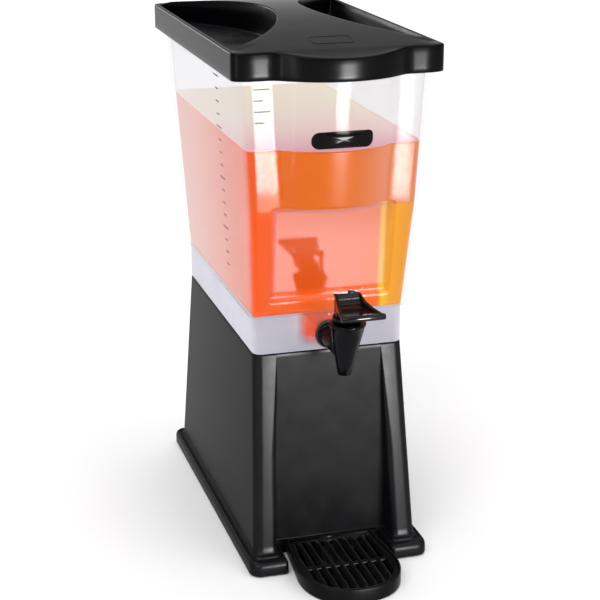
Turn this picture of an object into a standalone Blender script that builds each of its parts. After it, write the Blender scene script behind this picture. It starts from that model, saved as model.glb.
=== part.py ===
"""Countertop cold-drink dispenser: lift-off tank on a pedestal base, with a
self-closing lever tap, a lid with two finger pockets and a slide-out drip tray.

Lengths are metres, +Z is up and the tap faces -Y. Every piece is modelled about
the middle of the tank's skirt; the parent empty then brings the middle of the
whole footprint, drip tray included, over the origin.
"""
import math

import bpy
import bmesh
import numpy as np

# ---------------------------------------------------------------- clearances
GAP = 0.0003             # between two pieces that rest on each other
SLIDE_GAP = 0.0006       # between two pieces that slide past each other
PIN_GAP = 0.0001         # radial, lever on its pin
STEP = 0.004             # how far a cutter runs past the face it leaves through

# ---------------------------------------------------------------- tank
SKIRT_WIDTH = 0.162      # lowest collar of the tank
SKIRT_DEPTH = 0.301
SKIRT_HEIGHT = 0.040
SKIRT_CORNER = 0.010
BASE_HEIGHT = 0.230      # counter to the bottom of the skirt
TANK_HEIGHT = 0.2565     # skirt top to the rim
TANK_BEND = 0.115        # skirt top to the bend in the front wall
TANK_STEP = 0.003        # how far the tank stands out over its skirt
TANK_CORNER = 0.010
SIDE_FLARE = 0.0136      # growth of each side from floor to rim
BACK_FLARE = 0.0325
FRONT_FLARE_LOW = 0.018  # growth of the front wall up to the bend
FRONT_FLARE_TOP = 0.022  # growth of the front wall at the rim
TANK_WALL = 0.003
RIM_THICK = 0.003
BELLY_WIDTH_TOP = SKIRT_WIDTH - 0.036  # swelling above the tap, at the rim
BELLY_WIDTH_LOW = SKIRT_WIDTH - 0.054
BELLY_DEPTH_TOP = 0.026
BELLY_DEPTH_LOW = 0.018
WINDOW_WIDTH = SKIRT_WIDTH - 0.038     # flat recess behind the tap
WINDOW_DRAFT = 0.003     # each side of the recess closes by this much at its panel
WINDOW_SILL = 0.020      # skirt top to the recess's lower edge
WINDOW_DEPTH_LOW = 0.007
WINDOW_DEPTH_TOP = 0.015
SUMP_WIDTH = 0.066       # well in the floor that feeds the tap
SUMP_FOOT_WIDTH = 0.044
SUMP_ROOM = 0.010        # behind the end of the tap's shank
SUMP_LIFT = 0.0015       # sump's underside above the bottom of the skirt

# ---------------------------------------------------------------- lid
LID_OVERHANG = 0.0108    # lid side beyond the tank's side at the rim
LID_OVERHANG_ENDS = 0.0125
LID_CORNER = 0.010
LID_RIM_HEIGHT = 0.0275
LID_WALL = 0.003
LID_LAP = 0.006          # the lid's skirt reaches this far below the tank's rim
LID_CROWN = 0.0155       # rise of the carrying bridge over the lid's edge
LID_BELLY_WIDTH = BELLY_WIDTH_TOP + 0.003
LID_BELLY_DEPTH = BELLY_DEPTH_TOP
POCKET_LIP = 0.006       # edge left outside each finger pocket
POCKET_RADIUS = 0.222    # the pocket's curved side
BRIDGE_WIDTH = 0.040     # between the two pockets, at its narrowest
LID_RIB = 0.0025

# ---------------------------------------------------------------- base
BASE_SPREAD_SIDE = 0.0095   # each side flares out by this much to the floor
BASE_SPREAD_FRONT = 0.0325
BASE_SPREAD_BACK = 0.0275
BASE_WALL = 0.003
BASE_LIP_HEIGHT = 0.006
FLANGE_HEIGHT = 0.0145
FLANGE_REACH = 0.0075       # flange beyond the base's walls, sides
FLANGE_REACH_FRONT = 0.016
FLANGE_REACH_BACK = 0.010
FLANGE_REACH_BAY = 0.0075   # into the bay, round each leg's foot
FLANGE_CORNER = 0.012
LEG_WIDTH_TOP = 0.024       # front legs, either side of the open bay
LEG_WIDTH_LOW = 0.026
FOOT_RADIUS = 0.008
FOOT_HEIGHT = 0.0030
FOOT_SHOWS = 0.0010         # foot below the flange
FOOT_INSET = 0.014          # foot centre in from the flange's edge

# ---------------------------------------------------------------- drip tray
TRAY_SIDE_ROOM = 0.003      # between the widest part of the tray and the flange
TRAY_TAPER = 0.0065         # each side is this much narrower at the back
TRAY_STRAIGHT = 0.067       # side length before the rounded front
TRAY_NOSE = 0.061           # length of the rounded front
TRAY_NOSE_POWER = 2.3
TRAY_HEIGHT = 0.016
TRAY_WALL = 0.0025
TRAY_POST_RADIUS = 0.003
TONGUE_WIDTH = 0.060
TONGUE_LENGTH = 0.012
TONGUE_Z = (0.003, 0.008)
GRATE_THICK = 0.004
GRATE_DROP = 0.002          # grate's top below the tray's edge
GRATE_BORDER = 0.006
GRATE_PITCH = 0.010
GRATE_SLOT = 0.0055

# ---------------------------------------------------------------- tap
SHANK_RADIUS = 0.008
SHANK_BORE = 0.0038
HUB_RADIUS = SHANK_RADIUS + 0.005
WASHER_RADIUS = SHANK_RADIUS + 0.0075
WASHER_THICK = 0.003
INNER_WASHER_RADIUS = SHANK_RADIUS + 0.003
NUT_RADIUS = SHANK_RADIUS + 0.0035   # corner to axis
NUT_ROOM = 0.0015           # below the inner washer, to the sump's floor
NUT_THICK = 0.009
SHANK_SPARE = 0.0075        # shank beyond the nut
BODY_REACH = 0.0615         # tank's skirt to the middle of the tap's top
BODY_RADIUS_TOP = 0.019
BODY_RADIUS_TIP = 0.0067
BODY_TOP = 0.032            # tap's top above the shank's axis
BODY_TIP = -0.0263          # spout's tip, below the shank's axis
TIP_SETBACK = 0.0094        # the tip lies nearer the tank than the top does
OUTLET_RADIUS = 0.0045
SEAT_DROP = 0.0002          # valve seat below the lowest line of the shank's bore
SEAT_CHAMBER_RADIUS = 0.0065
CHAMBER_RADIUS = 0.0090
CHAMBER_RISE = 0.002        # wide part of the chamber, above the shank's axis
STEM_SETBACK = 0.003        # stem's axis nearer the tank than the body's middle
STEM_RADIUS = 0.0024
STEM_HEAD_RADIUS = 0.002
STEM_HEAD_WIDTH = 0.015
CUP_RADIUS = 0.0060
CUP_HEIGHT = 0.0072
COLLAR_RADIUS = 0.0055
COLLAR_THICK = 0.002
BONNET_RADIUS = 0.0145
BONNET_THICK = 0.007
BONNET_PLUG = 0.0075
EAR_INSIDE = 0.0060         # half gap between the bonnet's two ears
EAR_THICK = 0.0025
EAR_RADIUS = 0.0033
PIVOT_AHEAD = 0.010         # pivot in front of the stem
PIVOT_HEIGHT = 0.0046       # pivot above the bonnet
PIN_RADIUS = 0.0015
LEVER_PLATE = 0.003
LEVER_WEB = 0.0025
LEVER_REAR_WIDTH = 0.023
LEVER_FRONT_WIDTH = 0.044
LEVER_REACH = 0.042         # pivot to the finger bar
LEVER_BAR_RISE = 0.0084
LEVER_BAR_RADIUS = 0.0032
LEVER_TOP_BACK = 0.0155     # lever's top edge behind the pivot
LEVER_TOP_RISE = 0.0174
LEVER_SCOOP_RISE = 0.0022    # how high the scoop's curve is drawn over the pivot
LEVER_ARM_THICK = 0.0018
LEVER_WEB_GAP = 0.0013      # webs above the bonnet
SPRING_RADIUS = 0.0042
SPRING_WIRE = 0.0005
SPRING_TURNS = 6

# ---------------------------------------------------------------- badge
BADGE_WIDTH = 0.063
BADGE_HEIGHT = 0.017
BADGE_CORNER = 0.006
BADGE_THICK = 0.0012
BADGE_Z = 0.066             # badge's middle below the tank's rim

# ---------------------------------------------------------------- worked out from the above
SKIRT_Z = BASE_HEIGHT
FLOOR_Z = SKIRT_Z + SKIRT_HEIGHT
BEND_Z = FLOOR_Z + TANK_BEND
RIM_Z = FLOOR_Z + TANK_HEIGHT
SKIRT_FRONT = -SKIRT_DEPTH / 2
SUMP_DEPTH = TANK_WALL + WASHER_THICK + NUT_THICK + SHANK_SPARE + SUMP_ROOM + TANK_WALL
SHANK_HEIGHT = SUMP_LIFT + TANK_WALL + INNER_WASHER_RADIUS + NUT_ROOM
BAY_WIDTH_TOP = SKIRT_WIDTH - 2 * LEG_WIDTH_TOP
BAY_WIDTH_LOW = SKIRT_WIDTH + 2 * (BASE_SPREAD_SIDE - LEG_WIDTH_LOW)
TRAY_WIDTH = BAY_WIDTH_LOW - 2 * (FLANGE_REACH_BAY + TRAY_SIDE_ROOM)
TRAY_WIDTH_BACK = TRAY_WIDTH - 2 * TRAY_TAPER
LID_SKIRT_Z = RIM_Z - LID_LAP
LID_EDGE_Z = LID_SKIRT_Z + LID_RIM_HEIGHT
POCKET_FLOOR_Z = RIM_Z + GAP + LID_WALL
FLANGE_Z = FOOT_SHOWS
SHANK_Z = SKIRT_Z + SHANK_HEIGHT
BODY_Y = SKIRT_FRONT - BODY_REACH
STEM_Y = BODY_Y + STEM_SETBACK
BODY_TOP_Z = SHANK_Z + BODY_TOP
BODY_TIP_Z = SHANK_Z + BODY_TIP
CHAMBER_Z = SHANK_Z + CHAMBER_RISE
BONNET_Z = BODY_TOP_Z + GAP
BONNET_TOP_Z = BONNET_Z + BONNET_THICK
PIVOT_Y = STEM_Y - PIVOT_AHEAD
PIVOT_Z = BONNET_TOP_Z + PIVOT_HEIGHT
SEAT_Z = SHANK_Z - SHANK_BORE - SEAT_DROP
CUP_TOP_Z = SEAT_Z + GAP + CUP_HEIGHT
COLLAR_Z = CUP_TOP_Z + GAP
SPRING_LOW_Z = COLLAR_Z + COLLAR_THICK + GAP
SPRING_HIGH_Z = BONNET_Z - BONNET_PLUG - GAP
TRAY_BACK = SKIRT_FRONT - SLIDE_GAP
TRAY_FRONT = TRAY_BACK - TRAY_STRAIGHT - TRAY_NOSE
GRATE_TOP_Z = TRAY_HEIGHT - GRATE_DROP
ROUND = 24                  # sides of a round piece
FINE_ROUND = 32


# ================================================================ small tools
def clear_scene():
    """Remove whatever the scene starts with."""
    for thing in list(bpy.data.objects):
        bpy.data.objects.remove(thing, do_unlink=True)


def material(name, colour, roughness, metallic=0.0, alpha=1.0):
    """One Principled material."""
    made = bpy.data.materials.new(name)
    made.use_nodes = True
    shader = made.node_tree.nodes["Principled BSDF"]
    shader.inputs["Base Color"].default_value = (*colour, 1.0)
    shader.inputs["Roughness"].default_value = roughness
    shader.inputs["Metallic"].default_value = metallic
    shader.inputs["Alpha"].default_value = alpha
    return made


def mesh_from(verts, faces):
    """A mesh with its doubles merged and its faces turned outwards."""
    mesh = bpy.data.meshes.new("solid")
    mesh.from_pydata([tuple(map(float, v)) for v in verts], [], faces)
    work = bmesh.new()
    work.from_mesh(mesh)
    bmesh.ops.remove_doubles(work, verts=work.verts, dist=1e-6)
    bmesh.ops.recalc_face_normals(work, faces=work.faces)
    work.to_mesh(mesh)
    work.free()
    return mesh


def loft(rings):
    """Closed solid through rings of equal length, capped at both ends."""
    count = len(rings[0])
    verts = [v for ring in rings for v in ring]
    faces = []
    for level in range(len(rings) - 1):
        low, high = level * count, (level + 1) * count
        for i in range(count):
            j = (i + 1) % count
            faces.append((low + i, low + j, high + j, high + i))
    faces.append(tuple(reversed(range(count))))
    faces.append(tuple(range(len(verts) - count, len(verts))))
    return mesh_from(verts, faces)


def at_height(outline, z):
    """The points of a plan outline at one height."""
    return [(x, y, z) for x, y in outline]


def prism(outline, low, high):
    """A plan outline carried straight up from low to high."""
    return loft([at_height(outline, low), at_height(outline, high)])


def block(low, high):
    """An axis-aligned box from its lowest to its highest corner."""
    (x0, y0, z0), (x1, y1, z1) = low, high
    return prism([(x0, y0), (x1, y0), (x1, y1), (x0, y1)], z0, z1)


def side_prism(outline, x_low, x_high):
    """A (y, z) outline carried along X."""
    return loft([[(x_low, y, z) for y, z in outline],
                 [(x_high, y, z) for y, z in outline]])


def circle(radius, steps=ROUND, centre=(0.0, 0.0)):
    """Points of a regular polygon whose corners lie on the radius."""
    return [(centre[0] + radius * math.cos(2 * math.pi * i / steps),
             centre[1] + radius * math.sin(2 * math.pi * i / steps))
            for i in range(steps)]


def rod_x(radius, centre_y, centre_z, x_low, x_high, steps=ROUND):
    """A round bar along X."""
    return side_prism(circle(radius, steps, (centre_y, centre_z)), x_low, x_high)


def rod_y(radius, y_a, y_b, centre_z, steps=ROUND):
    """A round bar along Y, centred on x = 0."""
    return loft([[(x, y, z) for x, z in circle(radius, steps, (0.0, centre_z))]
                 for y in (y_a, y_b)])


def cone_z(radius_low, z_low, radius_high, z_high, y_low, y_high, steps=ROUND):
    """An upright bar, tapered and leaning in Y where its ends differ."""
    return loft([at_height(circle(radius_low, steps, (0.0, y_low)), z_low),
                 at_height(circle(radius_high, steps, (0.0, y_high)), z_high)])


def rounded_rectangle(half_width, front, back, radius, steps=5):
    """Plan outline, anticlockwise, with equal round corners."""
    outline = []
    corners = ((half_width, back, 0), (-half_width, back, 1),
               (-half_width, front, 2), (half_width, front, 3))
    for x, y, quarter in corners:
        cx = x - math.copysign(radius, x)
        cy = y - radius if y == back else y + radius
        for i in range(steps + 1):
            angle = math.pi / 2 * (quarter + i / steps)
            outline.append((cx + radius * math.cos(angle), cy + radius * math.sin(angle)))
    return outline


def with_belly(outline, front, width, depth):
    """The same outline with a circular swelling in the middle of its front."""
    arc = [tuple(point) for point in front_arc(width, depth, front, 0.0)]
    last_left = max(i for i, (x, y) in enumerate(outline) if x < 0 and abs(y - front) < 1e-9)
    return outline[:last_left + 1] + arc + outline[last_left + 1:]


def combined(first, *steps):
    """Boolean steps ("UNION", "DIFFERENCE" or "INTERSECT", mesh) on a first mesh."""
    result = first
    for operation, other in steps:
        body = bpy.data.objects.new("body", result)
        tool = bpy.data.objects.new("tool", other)
        for thing in (body, tool):
            bpy.context.scene.collection.objects.link(thing)
        cut = body.modifiers.new("cut", "BOOLEAN")
        cut.operation = operation
        cut.solver = "EXACT"
        cut.object = tool
        bpy.context.view_layer.update()
        evaluated = body.evaluated_get(bpy.context.evaluated_depsgraph_get())
        result = bpy.data.meshes.new_from_object(evaluated)
        merge_close(result)
        for thing in (body, tool):
            bpy.data.objects.remove(thing, do_unlink=True)
    return result


def merge_close(mesh):
    """Merge the near-double points that a cut leaves along shared edges."""
    work = bmesh.new()
    work.from_mesh(mesh)
    bmesh.ops.remove_doubles(work, verts=work.verts, dist=1e-6)
    bmesh.ops.dissolve_degenerate(work, edges=work.edges, dist=1e-7)
    work.to_mesh(mesh)
    work.free()


def joined(*parts):
    """Union of several meshes."""
    return combined(parts[0], *(("UNION", part) for part in parts[1:]))


def turned(profile, centre_y, steps=ROUND):
    """A closed (radius, z) profile that never meets the axis, swept about it."""
    count = len(profile)
    verts = []
    for i in range(steps):
        angle = 2 * math.pi * i / steps
        verts += [(r * math.cos(angle), centre_y + r * math.sin(angle), z) for r, z in profile]
    faces = []
    for i in range(steps):
        here, there = i * count, (i + 1) % steps * count
        for k in range(count):
            n = (k + 1) % count
            faces.append((here + k, here + n, there + n, there + k))
    return mesh_from(verts, faces)


def piece(name, mesh, finish, parent):
    """A named sub-part, shaded smooth with its crisp edges kept."""
    mesh.name = name
    mesh.materials.clear()
    mesh.materials.append(finish)
    mesh.shade_smooth()
    mesh.set_sharp_from_angle(angle=math.radians(35))
    made = bpy.data.objects.new(name, mesh)
    bpy.context.scene.collection.objects.link(made)
    made.parent = parent
    return made


def on_axis(made, y, z):
    """Put a moving piece's origin on its joint axis without moving the piece."""
    for vertex in made.data.vertices:
        vertex.co.y -= y
        vertex.co.z -= z
    made.location = (0.0, y, z)


# ================================================================ tank
def tank_side(z):
    """Half width of the tank's outside at a height above its floor."""
    rise = (z - FLOOR_Z) / TANK_HEIGHT
    return SKIRT_WIDTH / 2 + TANK_STEP + SIDE_FLARE * rise


def tank_back(z):
    """Y of the back wall's outside."""
    rise = (z - FLOOR_Z) / TANK_HEIGHT
    return SKIRT_DEPTH / 2 + BACK_FLARE * rise


def tank_front(z):
    """Y of the front wall's outside: steep up to the bend, then nearly upright."""
    start = SKIRT_FRONT - TANK_STEP / 2
    if z <= BEND_Z:
        return start - FRONT_FLARE_LOW * (z - FLOOR_Z) / TANK_BEND
    rise = (z - BEND_Z) / (RIM_Z - BEND_Z)
    return start - FRONT_FLARE_LOW - (FRONT_FLARE_TOP - FRONT_FLARE_LOW) * rise


def tank_ring(z, inset):
    """The tank's plan outline at one height, moved inwards by inset."""
    outline = rounded_rectangle(tank_side(z) - inset, tank_front(z) + inset,
                                tank_back(z) - inset, TANK_CORNER - inset)
    return at_height(outline, z)


def tank_shape(inset, low, high):
    """The plain tank between two heights, without its belly or its recess."""
    return loft([tank_ring(z, inset) for z in (low, BEND_Z, high)])


def front_arc(width, depth, front, inset, steps=14):
    """Arc over a width that stands depth in front of a flat, left to right."""
    radius = (width ** 2 / 4 + depth ** 2) / (2 * depth)
    centre_y = front - depth + radius
    spread = math.asin(width / 2 / radius)
    angles = np.linspace(-spread, spread, steps + 1)
    return np.stack(((radius - inset) * np.sin(angles),
                     centre_y - (radius - inset) * np.cos(angles)), axis=1)


def belly_arc(z, inset):
    """The swelling's front arc at one height, on straight lines from its foot to the rim."""
    low = front_arc(BELLY_WIDTH_LOW, BELLY_DEPTH_LOW, tank_front(BEND_Z), inset)
    high = front_arc(BELLY_WIDTH_TOP, BELLY_DEPTH_TOP, tank_front(RIM_Z), inset)
    return low + (high - low) * (z - BEND_Z) / (RIM_Z - BEND_Z)


def belly_shape(inset, low, high, behind=TANK_CORNER):
    """The swelling over the tap, closed at the back inside the tank."""
    rings = []
    for z in (low, high):
        arc = belly_arc(z, inset)
        back = tank_front(z) + behind
        rings.append(at_height([*arc, (arc[-1][0], back), (arc[0][0], back)], z))
    return loft(rings)


def window_panel(z):
    """Y of the outside of the flat panel behind the tap."""
    depth = np.interp(z, (FLOOR_Z + WINDOW_SILL, BEND_Z), (WINDOW_DEPTH_LOW, WINDOW_DEPTH_TOP))
    return tank_front(z) + float(depth)


def window_shape(grow):
    """The block of space in front of the panel, grown by a wall where asked."""
    low, high = FLOOR_Z + WINDOW_SILL - grow, BEND_Z + grow
    reach = tank_front(BEND_Z) - 2 * BELLY_DEPTH_TOP
    rings = []
    for z in (low, high):
        outer, inner = WINDOW_WIDTH / 2 + grow, WINDOW_WIDTH / 2 - WINDOW_DRAFT + grow
        panel, face = window_panel(z) + grow, tank_front(z)
        rings.append([(-outer, reach, z), (outer, reach, z), (outer, face, z),
                      (inner, panel, z), (-inner, panel, z), (-outer, face, z)])
    return loft(rings)


def sump_shape(inset, low, high):
    """The feed well behind the skirt's front wall: wide above, narrow at its foot."""
    front = SKIRT_FRONT + (inset or TANK_WALL / 2)
    back = SKIRT_FRONT + SUMP_DEPTH - inset
    foot, mouth = SUMP_FOOT_WIDTH / 2 - inset, SUMP_WIDTH / 2 - inset
    shoulder = low + (SUMP_WIDTH - SUMP_FOOT_WIDTH) / 2
    rings = []
    for half, z in ((foot, low), (mouth, shoulder), (mouth, high)):
        rings.append([(-half, front, z), (half, front, z), (half, back, z), (-half, back, z)])
    return loft(rings)


def skirt_outline(inset):
    """Plan outline of the tank's skirt."""
    half = SKIRT_WIDTH / 2 - inset
    return rounded_rectangle(half, SKIRT_FRONT + inset, -SKIRT_FRONT - inset, SKIRT_CORNER - inset)


def make_tank():
    """Tank, skirt, sump and rim in one moulding."""
    wall = TANK_WALL
    sump_low = SKIRT_Z + SUMP_LIFT
    outside = combined(tank_shape(0.0, FLOOR_Z, RIM_Z),
                       ("UNION", belly_shape(0.0, BEND_Z - STEP, RIM_Z)),
                       ("DIFFERENCE", window_shape(0.0)),
                       ("UNION", prism(skirt_outline(0.0), SKIRT_Z, FLOOR_Z + wall / 2)),
                       ("UNION", prism(lid_outline(LID_WALL + SLIDE_GAP), RIM_Z - RIM_THICK, RIM_Z)))
    inside = combined(tank_shape(wall, FLOOR_Z + wall, RIM_Z + STEP),
                      ("UNION", belly_shape(wall, BEND_Z + wall, RIM_Z + STEP)),
                      ("DIFFERENCE", window_shape(wall)),
                      ("UNION", sump_shape(wall, sump_low + wall, FLOOR_Z + 2 * wall)))
    under_floor = combined(prism(skirt_outline(wall), SKIRT_Z - STEP, FLOOR_Z),
                           ("DIFFERENCE", sump_shape(0.0, sump_low, FLOOR_Z + STEP)))
    shank_hole = rod_y(SHANK_RADIUS + GAP, SKIRT_FRONT - STEP, SKIRT_FRONT + wall + STEP, SHANK_Z)
    return combined(outside, ("DIFFERENCE", inside), ("DIFFERENCE", under_floor),
                    ("DIFFERENCE", shank_hole))


def make_badge():
    """A blank plate bent round the belly."""
    middle = RIM_Z - BADGE_Z
    outline = rounded_rectangle(BADGE_WIDTH / 2, -BADGE_HEIGHT / 2, BADGE_HEIGHT / 2, BADGE_CORNER)
    front = tank_front(middle)
    plate = loft([[(x, y, middle + z) for x, z in outline]
                  for y in (front - 2 * BELLY_DEPTH_TOP, front + TANK_CORNER / 2)])
    low, high = middle - BADGE_HEIGHT, middle + BADGE_HEIGHT
    return combined(plate, ("INTERSECT", belly_shape(-GAP - BADGE_THICK, low, high)),
                    ("DIFFERENCE", belly_shape(-GAP, low - STEP, high + STEP, 2 * TANK_CORNER)))


# ================================================================ lid
def lid_front():
    """Y of the lid's front edge beside its swelling."""
    return tank_front(RIM_Z) - LID_OVERHANG_ENDS


def lid_back():
    """Y of the lid's back edge."""
    return tank_back(RIM_Z) + LID_OVERHANG_ENDS


def lid_half():
    """Half width of the lid."""
    return tank_side(RIM_Z) + LID_OVERHANG


def lid_outline(inset):
    """The lid's plan outline with its front swelling, moved inwards by inset."""
    front = lid_front() + inset
    plain = rounded_rectangle(lid_half() - inset, front, lid_back() - inset, LID_CORNER - inset)
    return with_belly(plain, front, LID_BELLY_WIDTH - inset, LID_BELLY_DEPTH)


def lid_crown(drop):
    """Side outline of the lid's top: an arched bridge, lower at both ends."""
    front, back = lid_front(), lid_back()
    middle, half = (front + back) / 2, (back - front) / 2
    top = [(y, LID_EDGE_Z + LID_CROWN * (1 - ((y - middle) / half) ** 2) - drop)
           for y in np.linspace(front, back, 21)]
    nose = (front - 2 * LID_BELLY_DEPTH, LID_EDGE_Z - LID_BELLY_DEPTH / 5 - drop)
    tail = (back + STEP, LID_EDGE_Z - drop)
    foot = LID_SKIRT_Z - 2 * STEP
    return [nose, *top, tail, (tail[0], foot), (nose[0], foot)]


def lid_crown_block(drop):
    """Everything below the lid's top surface."""
    wide = lid_half() + STEP
    return side_prism(lid_crown(drop), -wide, wide)


def pocket_shape(side, grow, floor):
    """Finger pocket: the part of a large circle inside the lid's long edge."""
    radius = POCKET_RADIUS + grow
    centre_x = BRIDGE_WIDTH / 2 + POCKET_RADIUS
    edge = lid_half() - POCKET_LIP + grow
    middle = (lid_front() + lid_back()) / 2
    spread = math.acos((centre_x - edge) / radius)
    arc = [(side * (centre_x - radius * math.cos(a)), middle + radius * math.sin(a))
           for a in np.linspace(-spread, spread, 25)]
    return prism(arc, floor, LID_EDGE_Z + 2 * LID_CROWN)


def make_lid():
    """Lid shell with an arched bridge between two finger pockets."""
    ceiling = LID_EDGE_Z + 2 * LID_CROWN
    outside = combined(prism(lid_outline(0.0), LID_SKIRT_Z, ceiling),
                       ("INTERSECT", lid_crown_block(0.0)))
    edge = lid_half() - POCKET_LIP - GAP
    wide = lid_half() + STEP
    for side in (-1, 1):
        low, high = sorted((side * edge, side * wide))
        strip = block((low, lid_front() - STEP, LID_EDGE_Z), (high, lid_back() + STEP, ceiling))
        outside = combined(outside, ("DIFFERENCE", strip),
                           ("DIFFERENCE", pocket_shape(side, 0.0, POCKET_FLOOR_Z)))
    hollow = combined(prism(lid_outline(LID_WALL), LID_SKIRT_Z - STEP, ceiling),
                      ("INTERSECT", lid_crown_block(LID_WALL)))
    for side in (-1, 1):
        hollow = combined(hollow, ("DIFFERENCE", pocket_shape(side, LID_WALL, POCKET_FLOOR_Z - LID_WALL)))
    shell = combined(outside, ("DIFFERENCE", hollow))
    return joined(shell, lid_rib())


def lid_rib():
    """Ring under the lid that centres it in the tank's mouth, sized at its lower edge."""
    reach = TANK_WALL + SLIDE_GAP
    outer = [(x, y) for x, y, _ in tank_ring(LID_SKIRT_Z, reach)]
    inner = [(x, y) for x, y, _ in tank_ring(LID_SKIRT_Z, reach + LID_RIB)]
    rib = combined(prism(outer, LID_SKIRT_Z, LID_EDGE_Z + LID_CROWN),
                   ("DIFFERENCE", prism(inner, LID_SKIRT_Z - STEP, LID_EDGE_Z + 2 * LID_CROWN)),
                   ("INTERSECT", lid_crown_block(LID_WALL / 2)))
    for side in (-1, 1):
        rib = combined(rib, ("DIFFERENCE", pocket_shape(side, 0.0, POCKET_FLOOR_Z - LID_WALL / 2)))
    return rib


# ================================================================ base
def base_ring(z, inset):
    """The pedestal's plan outline at one height."""
    fall = (BASE_HEIGHT - z) / BASE_HEIGHT
    outline = rounded_rectangle(SKIRT_WIDTH / 2 + BASE_SPREAD_SIDE * fall - inset,
                                SKIRT_FRONT - BASE_SPREAD_FRONT * fall + inset,
                                -SKIRT_FRONT + BASE_SPREAD_BACK * fall - inset,
                                SKIRT_CORNER - inset)
    return at_height(outline, z)


def flange_outline(inset):
    """Plan outline of the foot flange."""
    return rounded_rectangle(SKIRT_WIDTH / 2 + BASE_SPREAD_SIDE + FLANGE_REACH - inset,
                             SKIRT_FRONT - BASE_SPREAD_FRONT - FLANGE_REACH_FRONT + inset,
                             -SKIRT_FRONT + BASE_SPREAD_BACK + FLANGE_REACH_BACK - inset,
                             FLANGE_CORNER - inset)


def bay_shape(grow):
    """The open bay for the glass, between the legs and in front of the panel."""
    reach = SKIRT_FRONT - BASE_SPREAD_FRONT - 2 * FLANGE_REACH_FRONT
    rings = []
    for z, width in ((-STEP, BAY_WIDTH_LOW), (BASE_HEIGHT - GAP + STEP, BAY_WIDTH_TOP)):
        half = width / 2 + grow
        rings.append([(-half, reach, z), (half, reach, z),
                      (half, SKIRT_FRONT + grow, z), (-half, SKIRT_FRONT + grow, z)])
    return loft(rings)


def flange_bay(grow):
    """The part of the bay that the flange leaves open for the tray."""
    half = BAY_WIDTH_LOW / 2 - FLANGE_REACH_BAY + grow
    front = SKIRT_FRONT - BASE_SPREAD_FRONT - 2 * FLANGE_REACH_FRONT
    return block((-half, front, -2 * STEP), (half, SKIRT_FRONT + grow, FLANGE_HEIGHT + STEP))


def foot_places():
    """Centres of the four feet, under the flange's corners."""
    half = SKIRT_WIDTH / 2 + BASE_SPREAD_SIDE + FLANGE_REACH - FOOT_INSET
    front = SKIRT_FRONT - BASE_SPREAD_FRONT - FLANGE_REACH_FRONT + FOOT_INSET
    back = -SKIRT_FRONT + BASE_SPREAD_BACK + FLANGE_REACH_BACK - FOOT_INSET
    return {"foot_front_left": (-half, front), "foot_front_right": (half, front),
            "foot_back_left": (-half, back), "foot_back_right": (half, back)}


def make_base():
    """Hollow pedestal: two front legs, recessed front panel, flange and tank lip."""
    wall = BASE_WALL
    roof = BASE_HEIGHT - GAP
    seat = FOOT_HEIGHT + GAP
    flange = combined(prism(flange_outline(0.0), FLANGE_Z, FLANGE_Z + FLANGE_HEIGHT),
                      ("DIFFERENCE", flange_bay(0.0)))
    under_flange = combined(prism(flange_outline(wall), -STEP, FLANGE_Z + FLANGE_HEIGHT - wall),
                            ("DIFFERENCE", flange_bay(wall)))
    outside = combined(loft([base_ring(FLANGE_Z, 0.0), base_ring(roof, 0.0)]),
                       ("DIFFERENCE", bay_shape(0.0)), ("UNION", flange))
    hollow = combined(loft([base_ring(-STEP, wall), base_ring(roof - wall, wall)]),
                      ("DIFFERENCE", bay_shape(wall)), ("UNION", under_flange))
    for x, y in foot_places().values():
        boss = prism(circle(FOOT_RADIUS + wall / 2, ROUND, (x, y)), seat, FLANGE_Z + FLANGE_HEIGHT)
        hollow = combined(hollow, ("DIFFERENCE", boss))
    slot = block((-TONGUE_WIDTH / 2 - SLIDE_GAP, SKIRT_FRONT - STEP, -STEP),
                 (TONGUE_WIDTH / 2 + SLIDE_GAP, SKIRT_FRONT + wall + STEP, TONGUE_Z[1] + SLIDE_GAP))
    shell = combined(outside, ("DIFFERENCE", hollow), ("DIFFERENCE", slot))
    return joined(shell, base_lip())


def base_lip():
    """Raised edge inside the tank's skirt, left out in front of the sump."""
    reach = TANK_WALL + SLIDE_GAP
    roof = BASE_HEIGHT - GAP
    lip = combined(prism(skirt_outline(reach), roof - BASE_WALL / 2, roof + BASE_LIP_HEIGHT),
                   ("DIFFERENCE", prism(skirt_outline(reach + BASE_WALL), roof - BASE_WALL,
                                        roof + 2 * BASE_LIP_HEIGHT)))
    gate = block((-SUMP_WIDTH / 2 - STEP, SKIRT_FRONT, roof - BASE_WALL),
                 (SUMP_WIDTH / 2 + STEP, SKIRT_FRONT + SUMP_DEPTH, roof + 2 * BASE_LIP_HEIGHT))
    return combined(lip, ("DIFFERENCE", gate))


# ================================================================ drip tray
def tray_outline(inset, steps=20):
    """Tray plan: sides that widen a little, then a blunt rounded nose.

    The nose is a superellipse: |x/a|^p + |y/b|^p = 1.
    """
    half, half_back = TRAY_WIDTH / 2 - inset, TRAY_WIDTH_BACK / 2 - inset
    shoulder = TRAY_BACK - TRAY_STRAIGHT
    nose = TRAY_NOSE - inset
    power = 2 / TRAY_NOSE_POWER
    outline = [(half_back, TRAY_BACK - inset), (-half_back, TRAY_BACK - inset)]
    for a in np.linspace(math.pi, 2 * math.pi, steps + 1):
        cosine, sine = math.cos(a), math.sin(a)
        x = half * math.copysign(abs(cosine) ** power, cosine)
        y = shoulder - nose * abs(sine) ** power
        outline.append((x, y))
    return outline


def post_places():
    """Where the tray's posts hold up the grate."""
    back = TRAY_BACK - TRAY_WALL - 2 * GRATE_BORDER
    front = TRAY_BACK - TRAY_STRAIGHT - TRAY_NOSE / 4
    return [(side * TRAY_WIDTH_BACK / 4, y) for side in (-1, 1) for y in (back, front)]


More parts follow.
